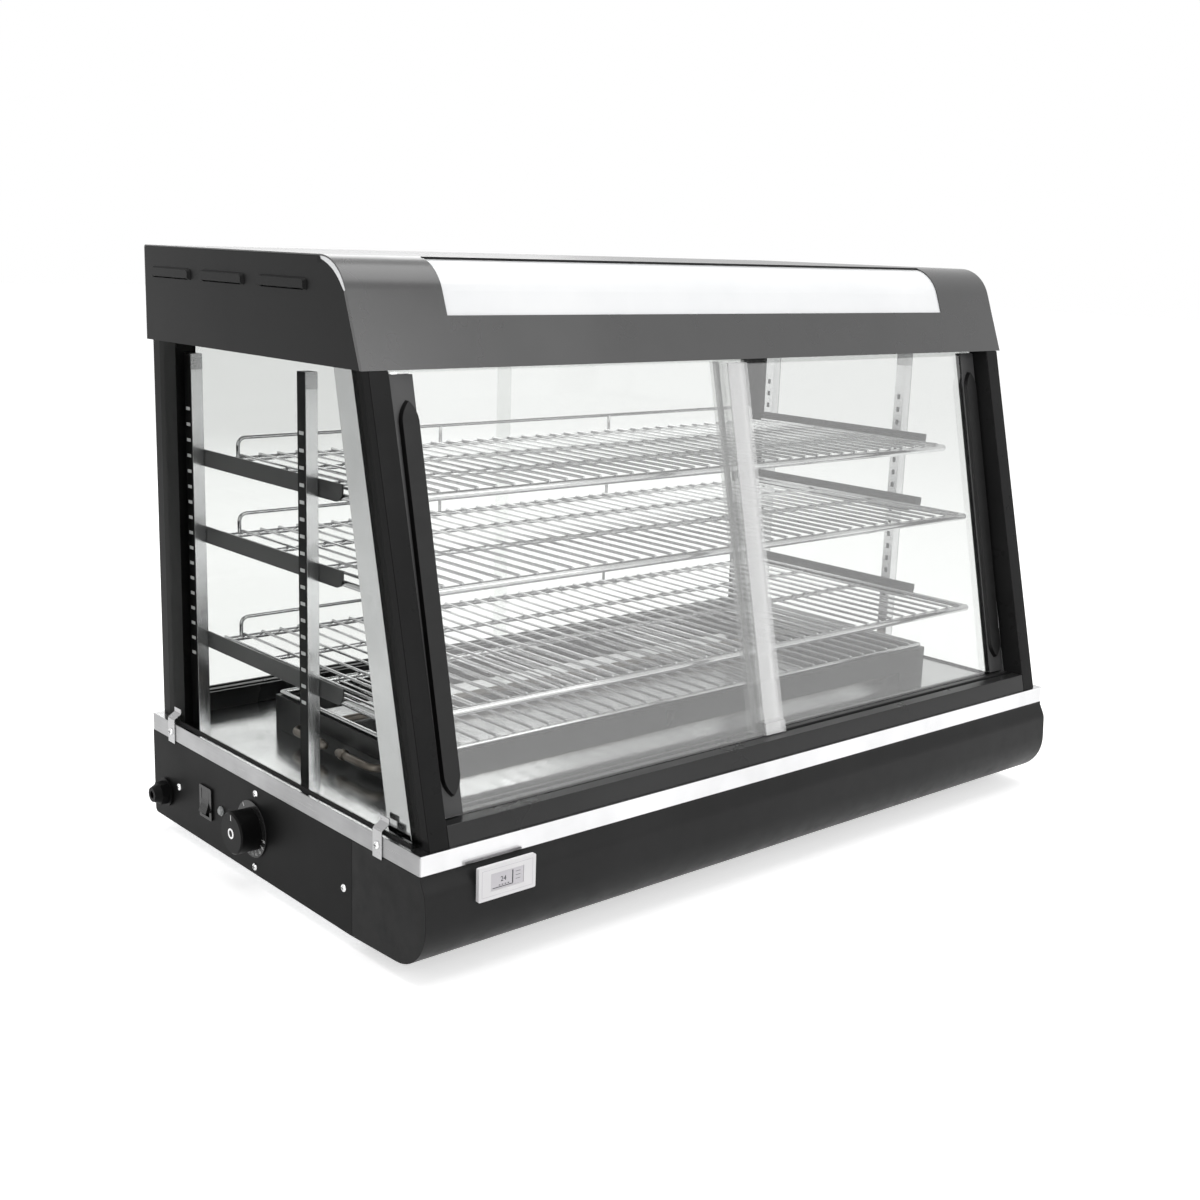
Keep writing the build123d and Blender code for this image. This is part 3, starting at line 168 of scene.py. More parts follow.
def off_middle(nodes, links, vector, axis, middle):
    """How far a point is from a middle plane, in metres, along one axis."""
    parts = nodes.new("ShaderNodeSeparateXYZ")
    links.new(vector, parts.inputs["Vector"])
    away = nodes.new("ShaderNodeMath")
    away.operation = "SUBTRACT"
    away.inputs[1].default_value = middle * MM
    links.new(parts.outputs[axis], away.inputs[0])
    size = nodes.new("ShaderNodeMath")
    size.operation = "ABSOLUTE"
    links.new(away.outputs["Value"], size.inputs[0])
    return size.outputs["Value"]


def in_front(nodes, links, vector, normal, point):
    """How far a point is in front of a tilted plane, in metres."""
    dot = nodes.new("ShaderNodeVectorMath")
    dot.operation = "DOT_PRODUCT"
    dot.inputs[1].default_value = normal
    links.new(vector, dot.inputs[0])
    away = nodes.new("ShaderNodeMath")
    away.operation = "SUBTRACT"
    away.inputs[1].default_value = (Vector(point) + SHIFT).dot(Vector(normal)) * MM
    links.new(dot.outputs["Value"], away.inputs[0])
    return away.outputs["Value"]


def compare(nodes, links, value, operation, limit):
    """1 where the value is over or under a limit in millimetres, else 0."""
    step = nodes.new("ShaderNodeMath")
    step.operation = operation
    step.inputs[1].default_value = limit * MM
    links.new(value, step.inputs[0])
    return step.outputs["Value"]


def both_of(nodes, links, first, second):
    """1 where both masks are 1."""
    times = nodes.new("ShaderNodeMath")
    times.operation = "MULTIPLY"
    links.new(first, times.inputs[0])
    links.new(second, times.inputs[1])
    return times.outputs["Value"]


def beyond_side(nodes, links, vector, half_width):
    """1 where a point is farther out to either side than a half width in millimetres."""
    across = off_middle(nodes, links, vector, "X", SHIFT.x)
    return compare(nodes, links, across, "GREATER_THAN", half_width)


def two_looks(name, mask_of, plain, special, metallic=0.0, grain=900.0, strength=0.1,
              stretch=(1.0, 1.0, 1.0), sheen=0.5):
    """One piece with two looks, each given as (dark, light, rough low, rough high); on some pieces the
    second look is painted shade.
    """
    mat, nodes, links, shader = material(name, plain[0], plain[2], metallic)
    shader.inputs["Specular IOR Level"].default_value = sheen
    vector = coordinates(nodes, links)
    clouds = noise(nodes, links, vector, scale=8.0, detail=4.0, rough=0.6)
    lines = noise(nodes, links, coordinates(nodes, links, stretch), scale=60.0, rough=0.6)
    mask = mask_of(nodes, links, vector)
    # A colour mix has its two colours at inputs 6 and 7, and a plain mix its values at 2 and 3
    colors = nodes.new("ShaderNodeMix")
    colors.data_type = "RGBA"
    links.new(mask, colors.inputs[0])
    links.new(tint(nodes, links, clouds, plain[0], plain[1]), colors.inputs[6])
    links.new(tint(nodes, links, clouds, special[0], special[1]), colors.inputs[7])
    links.new(colors.outputs[2], shader.inputs["Base Color"])
    gloss = nodes.new("ShaderNodeMix")
    links.new(mask, gloss.inputs[0])
    links.new(span(nodes, links, lines, plain[2], plain[3]), gloss.inputs[2])
    links.new(span(nodes, links, lines, special[2], special[3]), gloss.inputs[3])
    links.new(gloss.outputs[0], shader.inputs["Roughness"])
    peel = noise(nodes, links, vector, grain, detail=2.0)
    relief(nodes, links, shader, peel, strength)
    return mat


def polished(name, dark, light, rough_low, rough_high, stretch, strength=0.03):
    """Bare metal with fine lines along its rolling direction and faint cloudy smears."""
    mat, nodes, links, shader = material(name, light, rough_low, 1.0)
    lines = noise(nodes, links, coordinates(nodes, links, stretch), scale=60.0, rough=0.6)
    clouds = noise(nodes, links, coordinates(nodes, links), scale=9.0, rough=0.6)
    links.new(tint(nodes, links, clouds, dark, light), shader.inputs["Base Color"])
    links.new(span(nodes, links, lines, rough_low, rough_high), shader.inputs["Roughness"])
    relief(nodes, links, shader, lines, strength)
    return mat


def see_through(name, tone, gloss, least, most, rough=0.0, onset=0.0):
    """A thin clear pane, which past an onset shines the more it is seen edge on."""
    mat, nodes, links, shader = material(name, tone, rough)
    nodes.remove(shader)
    out = nodes["Material Output"]
    clear = nodes.new("ShaderNodeBsdfTransparent")
    clear.inputs["Color"].default_value = (*tone, 1.0)
    shine = nodes.new("ShaderNodeBsdfGlossy")
    shine.inputs["Color"].default_value = (*gloss, 1.0)
    shine.inputs["Roughness"].default_value = rough
    facing = nodes.new("ShaderNodeLayerWeight")
    facing.inputs["Blend"].default_value = 0.5
    grazing = nodes.new("ShaderNodeMath")
    grazing.operation = "POWER"
    grazing.inputs[1].default_value = SHEEN_FALLOFF
    links.new(facing.outputs["Facing"], grazing.inputs[0])
    amount = nodes.new("ShaderNodeMapRange")
    amount.inputs["From Min"].default_value = onset
    amount.inputs["To Min"].default_value = least
    amount.inputs["To Max"].default_value = most
    links.new(grazing.outputs["Value"], amount.inputs["Value"])
    mix = nodes.new("ShaderNodeMixShader")
    links.new(amount.outputs["Result"], mix.inputs["Fac"])
    links.new(clear.outputs["BSDF"], mix.inputs[1])
    links.new(shine.outputs["BSDF"], mix.inputs[2])
    links.new(mix.outputs["Shader"], out.inputs["Surface"])
    return mat


# The side and rear panels have the black paint in a darker copy: painted shade
panel_black_painted_shade = coated("panel_black_painted_shade", grey(0.003), grey(0.005), 0.36, 0.48, sheen=0.07)
# The canopy's sheet and its end panels are the same black paint: the sheet is painted lighter as
# painted sheen, and the ends darker as painted shade
canopy_black_painted_sheen = coated("canopy_black_painted_sheen", grey(0.020), grey(0.028), 0.24, 0.32, strength=0.04, sheen=1.0)
end_black_painted_shade = coated("end_black_painted_shade", grey(0.006), grey(0.009), 0.32, 0.42, sheen=0.12)
rail_black = coated("rail_black", grey(0.010), grey(0.015), 0.24, 0.34, 500.0, 0.06, sheen=0.35)
post_and_shade_black = coated("post_and_shade_black", grey(0.004), grey(0.006), 0.32, 0.42, strength=0.02, sheen=0.08)
shelf_black = coated("shelf_black", grey(0.011), grey(0.017), 0.26, 0.38, 700.0, 0.02, sheen=0.45)
plastic_black = coated("plastic_black", grey(0.002), grey(0.004), 0.38, 0.5, 1400.0, 0.2, sheen=0.1)
switch_black = coated("switch_black", grey(0.006), grey(0.010), 0.2, 0.3, 1200.0, 0.05, sheen=0.35)
rubber_and_shade_black = coated("rubber_and_shade_black", grey(0.010), grey(0.016), 0.7, 0.85, 800.0, 0.3, sheen=0.2)
dial_black = coated("dial_black", grey(0.010), grey(0.016), 0.2, 0.3, strength=0.05, sheen=0.3)
white_plastic = coated("white_plastic", (0.72, 0.71, 0.72), (0.80, 0.79, 0.80), 0.3, 0.42, 1200.0, 0.08)
lens_white = coated("lens_white", (0.20, 0.21, 0.21), (0.28, 0.29, 0.29), 0.12, 0.2, 300.0, 0.03)
sign_white = coated("sign_white", (0.78, 0.79, 0.80), (0.84, 0.845, 0.85), 0.1, 0.16, 200.0, 0.02)
ceiling_white = coated("ceiling_white", (0.70, 0.70, 0.70), (0.78, 0.78, 0.78), 0.35, 0.5)
beige_plastic = coated("beige_plastic", (0.55, 0.52, 0.45), (0.62, 0.59, 0.52), 0.4, 0.55, strength=0.1)
mark_and_slot_light_white = coated("mark_and_slot_light_white", (0.62, 0.62, 0.62), (0.74, 0.74, 0.74), 0.4, 0.5, strength=0.05)
screen_grey = coated("screen_grey", (0.56, 0.54, 0.57), (0.64, 0.62, 0.65), 0.12, 0.2, 500.0, 0.02)
screen_ink_and_shadow = coated("screen_ink_and_shadow", (0.03, 0.03, 0.035), (0.05, 0.05, 0.055), 0.2, 0.3, 500.0, 0.02)


# Where each piece's second look begins, in millimetres: painted shade on the sides of the lip, the
# cover and the corner posts and inside the uprights, and the black of the door handles
LIP_SHADE_START = WIDTH / 2 - 0.5
COVER_SHADE_START = WIDTH / 2 - 0.3
CORNER_POST_SHADE_START = 437.7
UPRIGHT_WEB_BACK = UPRIGHT_INNER_X + 0.8
UPRIGHT_LEG_INSIDE = UPRIGHT_HALF_DEPTH - 0.8
HANDLE_RISE = 3.6


def lip_sides(nodes, links, vector):
    """The two side faces of the floor plate's lip, which get painted shade."""
    return beyond_side(nodes, links, vector, LIP_SHADE_START)


def cover_cheeks(nodes, links, vector):
    """The two side faces of the front cover, painted as dark as the side panels: painted shade."""
    return beyond_side(nodes, links, vector, COVER_SHADE_START)


def post_sides(nodes, links, vector):
    """The outer side faces of the front corner posts, which get painted shade."""
    return beyond_side(nodes, links, vector, CORNER_POST_SHADE_START)


# The cover's front is painted lighter than its cheeks, which take the panels' darker copy as painted
# shade
base_black_shaded_cheeks = two_looks(
    "base_black_shaded_cheeks",
    cover_cheeks,
    (grey(0.015), grey(0.021), 0.34, 0.46),
    (grey(0.003), grey(0.005), 0.36, 0.48),
    sheen=0.12,
)
# The lip's steel, with its side faces painted darker and duller: painted shade
lip_steel_shaded_sides = two_looks(
    "lip_steel_shaded_sides",
    lip_sides,
    (grey(0.58), grey(0.74), 0.12, 0.22),
    (grey(0.26), grey(0.40), 0.26, 0.42),
    metallic=1.0,
    grain=1500.0,
    strength=0.06,
    stretch=(0.4, 0.4, 12.0),
)
clip_steel = polished("clip_steel", grey(0.34), grey(0.5), 0.18, 0.3, (1.0, 1.0, 6.0))
screw_steel = polished("screw_steel", (0.7, 0.7, 0.7), (0.86, 0.86, 0.86), 0.16, 0.28, (4.0, 4.0, 4.0))
mirror_steel = polished("mirror_steel", grey(0.60), grey(0.74), 0.05, 0.11, (6.0, 6.0, 0.5), 0.015)
wire_chrome = polished("wire_chrome", grey(0.50), grey(0.68), 0.08, 0.17, (5.0, 5.0, 5.0), 0.02)
tray_steel = polished("tray_steel", (0.42, 0.43, 0.44), (0.58, 0.59, 0.60), 0.3, 0.48, (3.0, 3.0, 3.0))
heater_steel = polished(
    "heater_steel", (0.16, 0.14, 0.12), (0.34, 0.31, 0.28), 0.3, 0.46, (3.0, 8.0, 8.0), 0.08
)


def upright_finish(name, middle_y):
    """Steel channel with painted shade inside, dark so that its slots read against it."""
    def inside(nodes, links, vector):
        past_web = beyond_side(nodes, links, vector, UPRIGHT_WEB_BACK)
        across = off_middle(nodes, links, vector, "Y", middle_y + SHIFT.y)
        between_legs = compare(nodes, links, across, "LESS_THAN", UPRIGHT_LEG_INSIDE)
        return both_of(nodes, links, past_web, between_legs)

    return two_looks(
        name,
        inside,
        (grey(0.60), grey(0.78), 0.14, 0.26),
        (grey(0.03), grey(0.05), 0.35, 0.5),
        metallic=1.0,
        strength=0.04,
        stretch=(12.0, 12.0, 0.4),
    )


front_upright_steel_shaded = upright_finish("front_upright_steel_shaded", UPRIGHT_PLACES["front"])
rear_upright_steel_shaded = upright_finish("rear_upright_steel_shaded", UPRIGHT_PLACES["rear"])


def stile_finish(name, track):
    """A grey door stile whose raised handle is deep black."""
    normal = (0.0, -math.cos(DOOR_LEAN), math.sin(DOOR_LEAN))
    foot = (0.0, door_line(FLOOR_TOP, track), FLOOR_TOP)

    def handle(nodes, links, vector):
        ahead = in_front(nodes, links, vector, normal, foot)
        return compare(nodes, links, ahead, "GREATER_THAN", HANDLE_RISE)

    return two_looks(
        name,
        handle,
        (grey(0.05), grey(0.07), 0.28, 0.38),
        (grey(0.003), grey(0.005), 0.4, 0.52),
        grain=1100.0,
        strength=0.08,
        sheen=0.3,
    )


left_stile_grey = stile_finish("left_stile_grey", 0)
right_stile_grey = stile_finish("right_stile_grey", 1)
# The corner posts' outer sides are painted darker than their fronts: painted shade
corner_black_shaded_sides = two_looks(
    "corner_black_shaded_sides",
    post_sides,
    (grey(0.012), grey(0.018), 0.26, 0.36),
    (grey(0.002), grey(0.003), 0.16, 0.24),
    grain=500.0,
    strength=0.02,
    sheen=0.06,
)

CLEAR_WHITE = (1.0, 1.0, 1.0)
side_glass = see_through("side_glass", (0.86, 0.865, 0.86), grey(0.8), least=0.0, most=0.5, onset=0.15)
door_glass = see_through("door_glass", (0.97, 0.975, 0.97), CLEAR_WHITE, least=0.13, most=0.9)
rear_glass = see_through("rear_glass", (0.92, 0.925, 0.92), grey(0.9), least=0.02, most=0.8)
seal_clear = see_through(
    "seal_clear", (0.985, 0.985, 0.985), CLEAR_WHITE, least=0.24, most=0.7, rough=0.4
)
tube_glass = coated("tube_glass", (0.80, 0.80, 0.78), (0.88, 0.88, 0.86), 0.1, 0.2, 200.0, 0.02)

finishes = {
    base_black_shaded_cheeks: ("front_cover",),
    panel_black_painted_shade: ("left_side_panel", "right_side_panel", "rear_panel"),
    canopy_black_painted_sheen: ("canopy_shell",),
    end_black_painted_shade: ("canopy_end_left", "canopy_end_right"),
    corner_black_shaded_sides: ("front_stile_left", "front_stile_right"),
    rail_black: ("front_bottom_rail", "front_top_rail", "rear_bottom_rail", "rear_top_rail"),
    post_and_shade_black: ("rear_post_left", "rear_post_right"),
    shelf_black: ("bottom_shelf_rails", "middle_shelf_rails", "top_shelf_rails", "heater_guard"),
    plastic_black: (
        "cable_gland", "rear_door_left_pull", "rear_door_right_pull", "thermostat_body",
        "thermostat_knob",
    ),
    switch_black: ("switch_housing", "switch_rocker"),
    rubber_and_shade_black: ("feet",),
    left_stile_grey: ("front_door_left_stile",),
    right_stile_grey: ("front_door_right_stile",),
    dial_black: ("dial_plate",),
    white_plastic: ("thermometer", "lamp_holders"),
    beige_plastic: ("terminal_block",),
    lens_white: ("pilot_lamp",),
    sign_white: ("sign_panel",),
    ceiling_white: ("ceiling_plate",),
    lip_steel_shaded_sides: ("floor_plate",),
    clip_steel: ("glass_clips",),
    screw_steel: ("screws",),
    front_upright_steel_shaded: ("front_upright_left", "front_upright_right"),
    rear_upright_steel_shaded: ("rear_upright_left", "rear_upright_right"),
    mirror_steel: ("mirror_liner_left", "mirror_liner_right"),
    wire_chrome: ("bottom_shelf", "middle_shelf", "top_shelf", "guard_rack"),
    tray_steel: ("base_chassis",),
    heater_steel: ("heater_element",),
    side_glass: ("side_glass_left", "side_glass_right"),
    door_glass: ("front_door_left_glass", "front_door_right_glass"),
    rear_glass: ("rear_door_left_glass", "rear_door_right_glass"),
    seal_clear: ("front_door_left_seal", "front_door_right_seal"),
    tube_glass: ("lamp_tube",),
}
for finish, names in finishes.items():
    for name in names:
        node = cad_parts[name]
        node.data.materials.clear()
        node.data.materials.append(finish)


WELD_REACH = 0.01
BEVEL_ANGLE = math.radians(40)


def soften(name, width):
    """Round a CAD node's sharp edges a little, so that they catch the light."""
    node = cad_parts[name]
    weld = node.modifiers.new("weld", "WELD")
    weld.merge_threshold = WELD_REACH * MM
    bevel = node.modifiers.new("bevel", "BEVEL")
    bevel.width = width * MM
    bevel.segments = 2
    bevel.limit_method = "ANGLE"
    bevel.angle_limit = BEVEL_ANGLE
    bevel.harden_normals = False
    flat = node.modifiers.new("normals", "WEIGHTED_NORMAL")
    flat.keep_sharp = False
    for polygon in node.data.polygons:
        polygon.use_smooth = True


edge_widths = {
    0.3: (
        "floor_plate", "canopy_shell", "canopy_end_left", "canopy_end_right", "front_cover",
        "left_side_panel", "right_side_panel", "rear_panel", "bottom_shelf_rails",
        "middle_shelf_rails", "top_shelf_rails", "heater_guard", "front_upright_left",
        "front_upright_right", "rear_upright_left", "rear_upright_right", "mirror_liner_left",
        "mirror_liner_right", "glass_clips", "dial_plate", "front_door_left_stile",
        "front_door_right_stile",
    ),
    0.6: (
        "front_stile_left", "front_stile_right", "rear_post_left", "rear_post_right",
        "front_bottom_rail", "front_top_rail", "rear_bottom_rail", "rear_top_rail",
        "switch_rocker", "switch_housing", "cable_gland", "terminal_block",
    ),
}
for edge_width, names in edge_widths.items():
    for name in names:
        soften(name, edge_width)


# Geometry helpers

def finish_mesh(name, mesh_work, finish, body="cabinet", replaced=(), smooth=True):
    """Turn a bmesh in metres into a piece that rides on a body and may replace some nodes."""
    bmesh.ops.translate(mesh_work, vec=SHIFT * MM, verts=mesh_work.verts[:])
    mesh = bpy.data.meshes.new(name)
    mesh_work.normal_update()
    mesh_work.to_mesh(mesh)
    mesh_work.free()
    piece = bpy.data.objects.new(name, mesh)
    bpy.context.scene.collection.objects.link(piece)
    mesh.materials.append(finish)
    for polygon in mesh.polygons:
        polygon.use_smooth = smooth
    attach(piece, body)
    if replaced:
        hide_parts(*replaced)


def rounded(points, radius, steps=6):
    """A path in millimetres with its inner corners rounded."""
    path = [Vector(points[0])]
    for before, corner, after in zip(points, points[1:], points[2:]):
        corner = Vector(corner)
        to_before = (Vector(before) - corner).normalized()
        to_after = (Vector(after) - corner).normalized()
        half = to_before.angle(to_after) / 2
        reach = radius / math.tan(half)
        start = corner + to_before * reach
        end = corner + to_after * reach
        centre = corner + (to_before + to_after).normalized() * (radius / math.sin(half))
        for number in range(steps + 1):
            share = number / steps
            arm = (start - centre).lerp(end - centre, share).normalized() * radius
            path.append(centre + arm)
    path.append(Vector(points[-1]))
    return path


# Rings that close a tube's end as a dome: how far out and how wide, in shares of its radius
DOME_RINGS = ((0.5, 0.62), (0.2, 0.92))


def add_tube(work, path, radius, sides):
    """Add a round wire or tube along a path in millimetres, with domed ends."""
    path = [Vector(point) for point in path]
    along = [(b - a).normalized() for a, b in zip(path, path[1:])]
    ways = [along[0]] + [(a + b).normalized() for a, b in zip(along, along[1:])] + [along[-1]]
    guide = Vector((0, 0, 1)) if abs(ways[0].z) < 0.9 else Vector((0, 1, 0))
    side = ways[0].cross(guide).normalized()
    stations = []
    for out, width in DOME_RINGS:
        stations.append((path[0] - ways[0] * radius * out, ways[0], radius * width))
    stations += [(point, way, radius) for point, way in zip(path, ways)]
    for out, width in reversed(DOME_RINGS):
        stations.append((path[-1] + ways[-1] * radius * out, ways[-1], radius * width))
    rings = []
    for point, way, size in stations:
        side = (side - way * side.dot(way)).normalized()
        up = way.cross(side)
        ring = []
        for number in range(sides):
            turn = 2 * math.pi * number / sides
            place = point + (side * math.cos(turn) + up * math.sin(turn)) * size
            ring.append(work.verts.new(place * MM))
        rings.append(ring)
    for low, high in zip(rings, rings[1:]):
        for number in range(sides):
            after = (number + 1) % sides
            work.faces.new((low[number], low[after], high[after], high[number]))
    work.faces.new(list(reversed(rings[0])))
    work.faces.new(rings[-1])


def add_lathe(work, centre, axis, profile, sides):
    """Add a turned form: profile is (distance along the axis, radius) pairs in millimetres."""
    axis = Vector(axis).normalized()
    side = axis.orthogonal().normalized()
    up = axis.cross(side)
    rings = []
    for distance, radius in profile:
        middle = Vector(centre) + axis * distance
        if radius == 0.0:
            rings.append([work.verts.new(middle * MM)])
            continue
        ring = []
        for number in range(sides):
            turn = 2 * math.pi * number / sides
            place = middle + (side * math.cos(turn) + up * math.sin(turn)) * radius
            ring.append(work.verts.new(place * MM))
        rings.append(ring)
    for low, high in zip(rings, rings[1:]):
        for number in range(sides):
            after = (number + 1) % sides
            if len(low) == 1:
                work.faces.new((low[0], high[after], high[number]))
            elif len(high) == 1:
                work.faces.new((low[number], low[after], high[0]))
            else:
                work.faces.new((low[number], low[after], high[after], high[number]))


def add_prism(work, outline, low_x, high_x):
    """Add a prism whose side view is a (y, z) outline, between two x places, in millimetres."""
    low = [work.verts.new(Vector((low_x, y, z)) * MM) for y, z in outline]
    high = [work.verts.new(Vector((high_x, y, z)) * MM) for y, z in outline]
    count = len(outline)
    for number in range(count):
        after = (number + 1) % count
        work.faces.new((low[number], low[after], high[after], high[number]))
    work.faces.new(list(reversed(low)))
    work.faces.new(high)
    bmesh.ops.recalc_face_normals(work, faces=work.faces[:])


def add_block(work, low, high):
    """Add a box between two corners in millimetres."""
    outline = [(low[1], low[2]), (high[1], low[2]), (high[1], high[2]), (low[1], high[2])]
    add_prism(work, outline, low[0], high[0])


def add_side_block(work, side, near, far, low, high):
    """Add a box on one side, between two distances from the middle and two (y, z) corners."""
    low_x, high_x = sorted((side * near, side * far))
    add_block(work, (low_x, *low), (high_x, *high))


def add_front_bars(work, bars, face_y, rise):
    """Add raised bars, each (low x, low z, high x, high z), on a face that looks ahead."""
    for low_x, low_z, high_x, high_z in bars:
        add_block(work, (low_x, face_y - rise, low_z), (high_x, face_y, high_z))


TEXT_RISE = 0.06


def add_text(work, body, size, centre, across, up):
    """Add raised lettering in millimetres, its centre at a point."""
    curve = bpy.data.curves.new("text", "FONT")
    curve.body = body
    curve.size = size * MM
    curve.extrude = TEXT_RISE * MM
    curve.align_x = "CENTER"
    curve.align_y = "CENTER"
    holder = bpy.data.objects.new("text", curve)
    bpy.context.scene.collection.objects.link(holder)
    bpy.context.view_layer.update()
    mesh = bpy.data.meshes.new_from_object(holder)
    across = Vector(across)
    up = Vector(up)
    turn = Matrix((across, up, across.cross(up))).transposed().to_4x4()
    mesh.transform(Matrix.Translation(Vector(centre) * MM) @ turn)
    work.from_mesh(mesh)
    bpy.data.objects.remove(holder)
    bpy.data.curves.remove(curve)
    bpy.data.meshes.remove(mesh)


# The wire shelves and the heater rack, with round wires

# Each rod's or wire's radius in millimetres and its number of sides
FRONT_ROD = (4.0, 16)
SIDE_ROD = (3.0, 14)
CROSS_ROD = (2.5, 12)
GUARD_ROD = (2.0, 12)
THIN_WIRE = (1.5, 10)
WIRE_PITCH = 21.5
WIRE_RISE = 1.35

SHELF_NAMES = ("bottom", "middle", "top")
RAIL_TOPS = (219.9, 329.8, 408.3)
SHELF_FRONTS = (-156.0, -141.0, -103.0)
SHELF_REAR = 186.0
SHELF_HALF_WIDTH = 411.3
ROD_DROP = 9.45
FRONT_ROD_REACH = 2.0
CROSS_ROD_PLACES = (-5.0, 92.0)
WIRE_FRONT_REACH = 2.2
WIRE_REAR_GAP = 2.5
GUARD_HALF_WIDTH = 378.0
GUARD_RISE = 19.0
GUARD_STAY_RISE = 18.0
GUARD_BEND = 8.0

RACK_TOP = 163.05
RACK_HALF_WIDTH = 365.0
RACK_FRONT = -127.0
RACK_REAR = 125.0
RACK_WIRE_REACH = 1.0


def add_cross_rod(work, half_width, y, top, gauge):
    """Add a rod from side to side, its upper edge at a height."""
    z = top - gauge[0]
    add_tube(work, [(-half_width, y, z), (half_width, y, z)], *gauge)


def add_side_rods(work, half_width, front, rear, top, gauge):
    """Add two rods from front to rear, their upper edges at a height."""
    z = top - gauge[0]
    for side in (-1, 1):
        add_tube(work, [(side * half_width, front, z), (side * half_width, rear, z)], *gauge)


def add_wire_row(work, half_width, front, rear, top):
    """Add the row of thin wires that lie on a frame's rods."""
    count = int(2 * half_width / WIRE_PITCH)
    z = top + WIRE_RISE
    for number in range(count):
        x = (number - (count - 1) / 2) * WIRE_PITCH
        add_tube(work, [(x, front, z), (x, rear, z)], *THIN_WIRE)


def add_guard(work, y, top):
    """Add the low wire fence along a shelf's rear, with its two stays."""
    foot = top - SIDE_ROD[0]
    fence = [
        (-GUARD_HALF_WIDTH, y, foot),
        (-GUARD_HALF_WIDTH, y, top + GUARD_RISE),
        (GUARD_HALF_WIDTH, y, top + GUARD_RISE),
        (GUARD_HALF_WIDTH, y, foot),
    ]
    add_tube(work, rounded(fence, GUARD_BEND), *GUARD_ROD)
    for x in (-GUARD_HALF_WIDTH / 3, GUARD_HALF_WIDTH / 3):
        add_tube(work, [(x, y, foot), (x, y, top + GUARD_STAY_RISE)], *GUARD_ROD)


for shelf_name, rail_top, shelf_front in zip(SHELF_NAMES, RAIL_TOPS, SHELF_FRONTS):
    rod_top = rail_top - ROD_DROP
    work = bmesh.new()
    add_cross_rod(work, SHELF_HALF_WIDTH + FRONT_ROD_REACH, shelf_front, rod_top, FRONT_ROD)
    add_cross_rod(work, SHELF_HALF_WIDTH, SHELF_REAR, rod_top, SIDE_ROD)
    add_side_rods(work, SHELF_HALF_WIDTH, shelf_front, SHELF_REAR, rod_top, SIDE_ROD)
    for place in CROSS_ROD_PLACES:
        add_cross_rod(work, SHELF_HALF_WIDTH, place, rod_top, CROSS_ROD)
    add_guard(work, SHELF_REAR, rod_top)
    wire_front = shelf_front - WIRE_FRONT_REACH
    add_wire_row(work, SHELF_HALF_WIDTH, wire_front, SHELF_REAR - WIRE_REAR_GAP, rod_top)
    replaced = (f"{shelf_name}_shelf",)
    finish_mesh(f"{shelf_name}_shelf_wires", work, wire_chrome, replaced=replaced)

work = bmesh.new()
for y in (RACK_FRONT, RACK_REAR):
    add_cross_rod(work, RACK_HALF_WIDTH, y, RACK_TOP, CROSS_ROD)
add_side_rods(work, RACK_HALF_WIDTH, RACK_FRONT, RACK_REAR, RACK_TOP, CROSS_ROD)
add_wire_row(work, RACK_HALF_WIDTH, RACK_FRONT - RACK_WIRE_REACH, RACK_REAR + RACK_WIRE_REACH, RACK_TOP)
finish_mesh("guard_rack_wires", work, wire_chrome, replaced=("guard_rack",))

# The tubular heater, round with rounded bends, and its two end caps
HEATER_Z = 136.0
HEATER_X = 383.0
HEATER_ARM_Y = 75.0
HEATER_END_Y = 12.0
HEATER_BEND = 12.0
HEATER_ROD = (3.9, 14)
HEATER_CAP_Y = 24.0
HEATER_CAP = [(0.0, 0.0), (0.0, 4.9), (0.6, 5.4), (5.4, 5.4), (6.0, 4.9), (6.0, 0.0)]
heater_path = [
    (-HEATER_X, HEATER_END_Y, HEATER_Z),
    (-HEATER_X, HEATER_ARM_Y, HEATER_Z),
    (HEATER_X, HEATER_ARM_Y, HEATER_Z),
    (HEATER_X, -HEATER_ARM_Y, HEATER_Z),
    (-HEATER_X, -HEATER_ARM_Y, HEATER_Z),
    (-HEATER_X, -HEATER_END_Y, HEATER_Z),
]
work = bmesh.new()
add_tube(work, rounded(heater_path, HEATER_BEND), *HEATER_ROD)
for end in (-1, 1):
    add_lathe(work, (-HEATER_X, end * HEATER_CAP_Y, HEATER_Z), (0, -end, 0), HEATER_CAP, sides=20)
finish_mesh("heater_tube", work, heater_steel, replaced=("heater_element",))

# Pan head screws with a cross recess
SCREW_PLACES = ((191.0, 55.5), (28.5, 96.0), (32.0, 20.0), (-130.0, 54.0))
SCREW_SEAT_X = 450.0
CLIP_PLACES = (204.0, -185.0)
CLIP_SCREW_Z = 113.0
CLIP_SEAT_X = 451.25
SCREW_HEAD = [(0.0, 3.8), (0.5, 3.8), (1.2, 3.5), (1.7, 2.8), (2.0, 1.7), (2.1, 0.0)]
SCREW_SHANK = [(0.0, 2.0), (8.0, 1.8), (8.0, 0.0)]
RECESS_BARS = ((2.0, 0.35), (0.35, 2.0))
RECESS_LOW = 1.6
RECESS_HIGH = 2.13
seats = [(side, y, z, SCREW_SEAT_X) for side in (-1, 1) for y, z in SCREW_PLACES]
seats += [(side, y, CLIP_SCREW_Z, CLIP_SEAT_X) for side in (-1, 1) for y in CLIP_PLACES]
heads = bmesh.new()
recess_shade = bmesh.new()
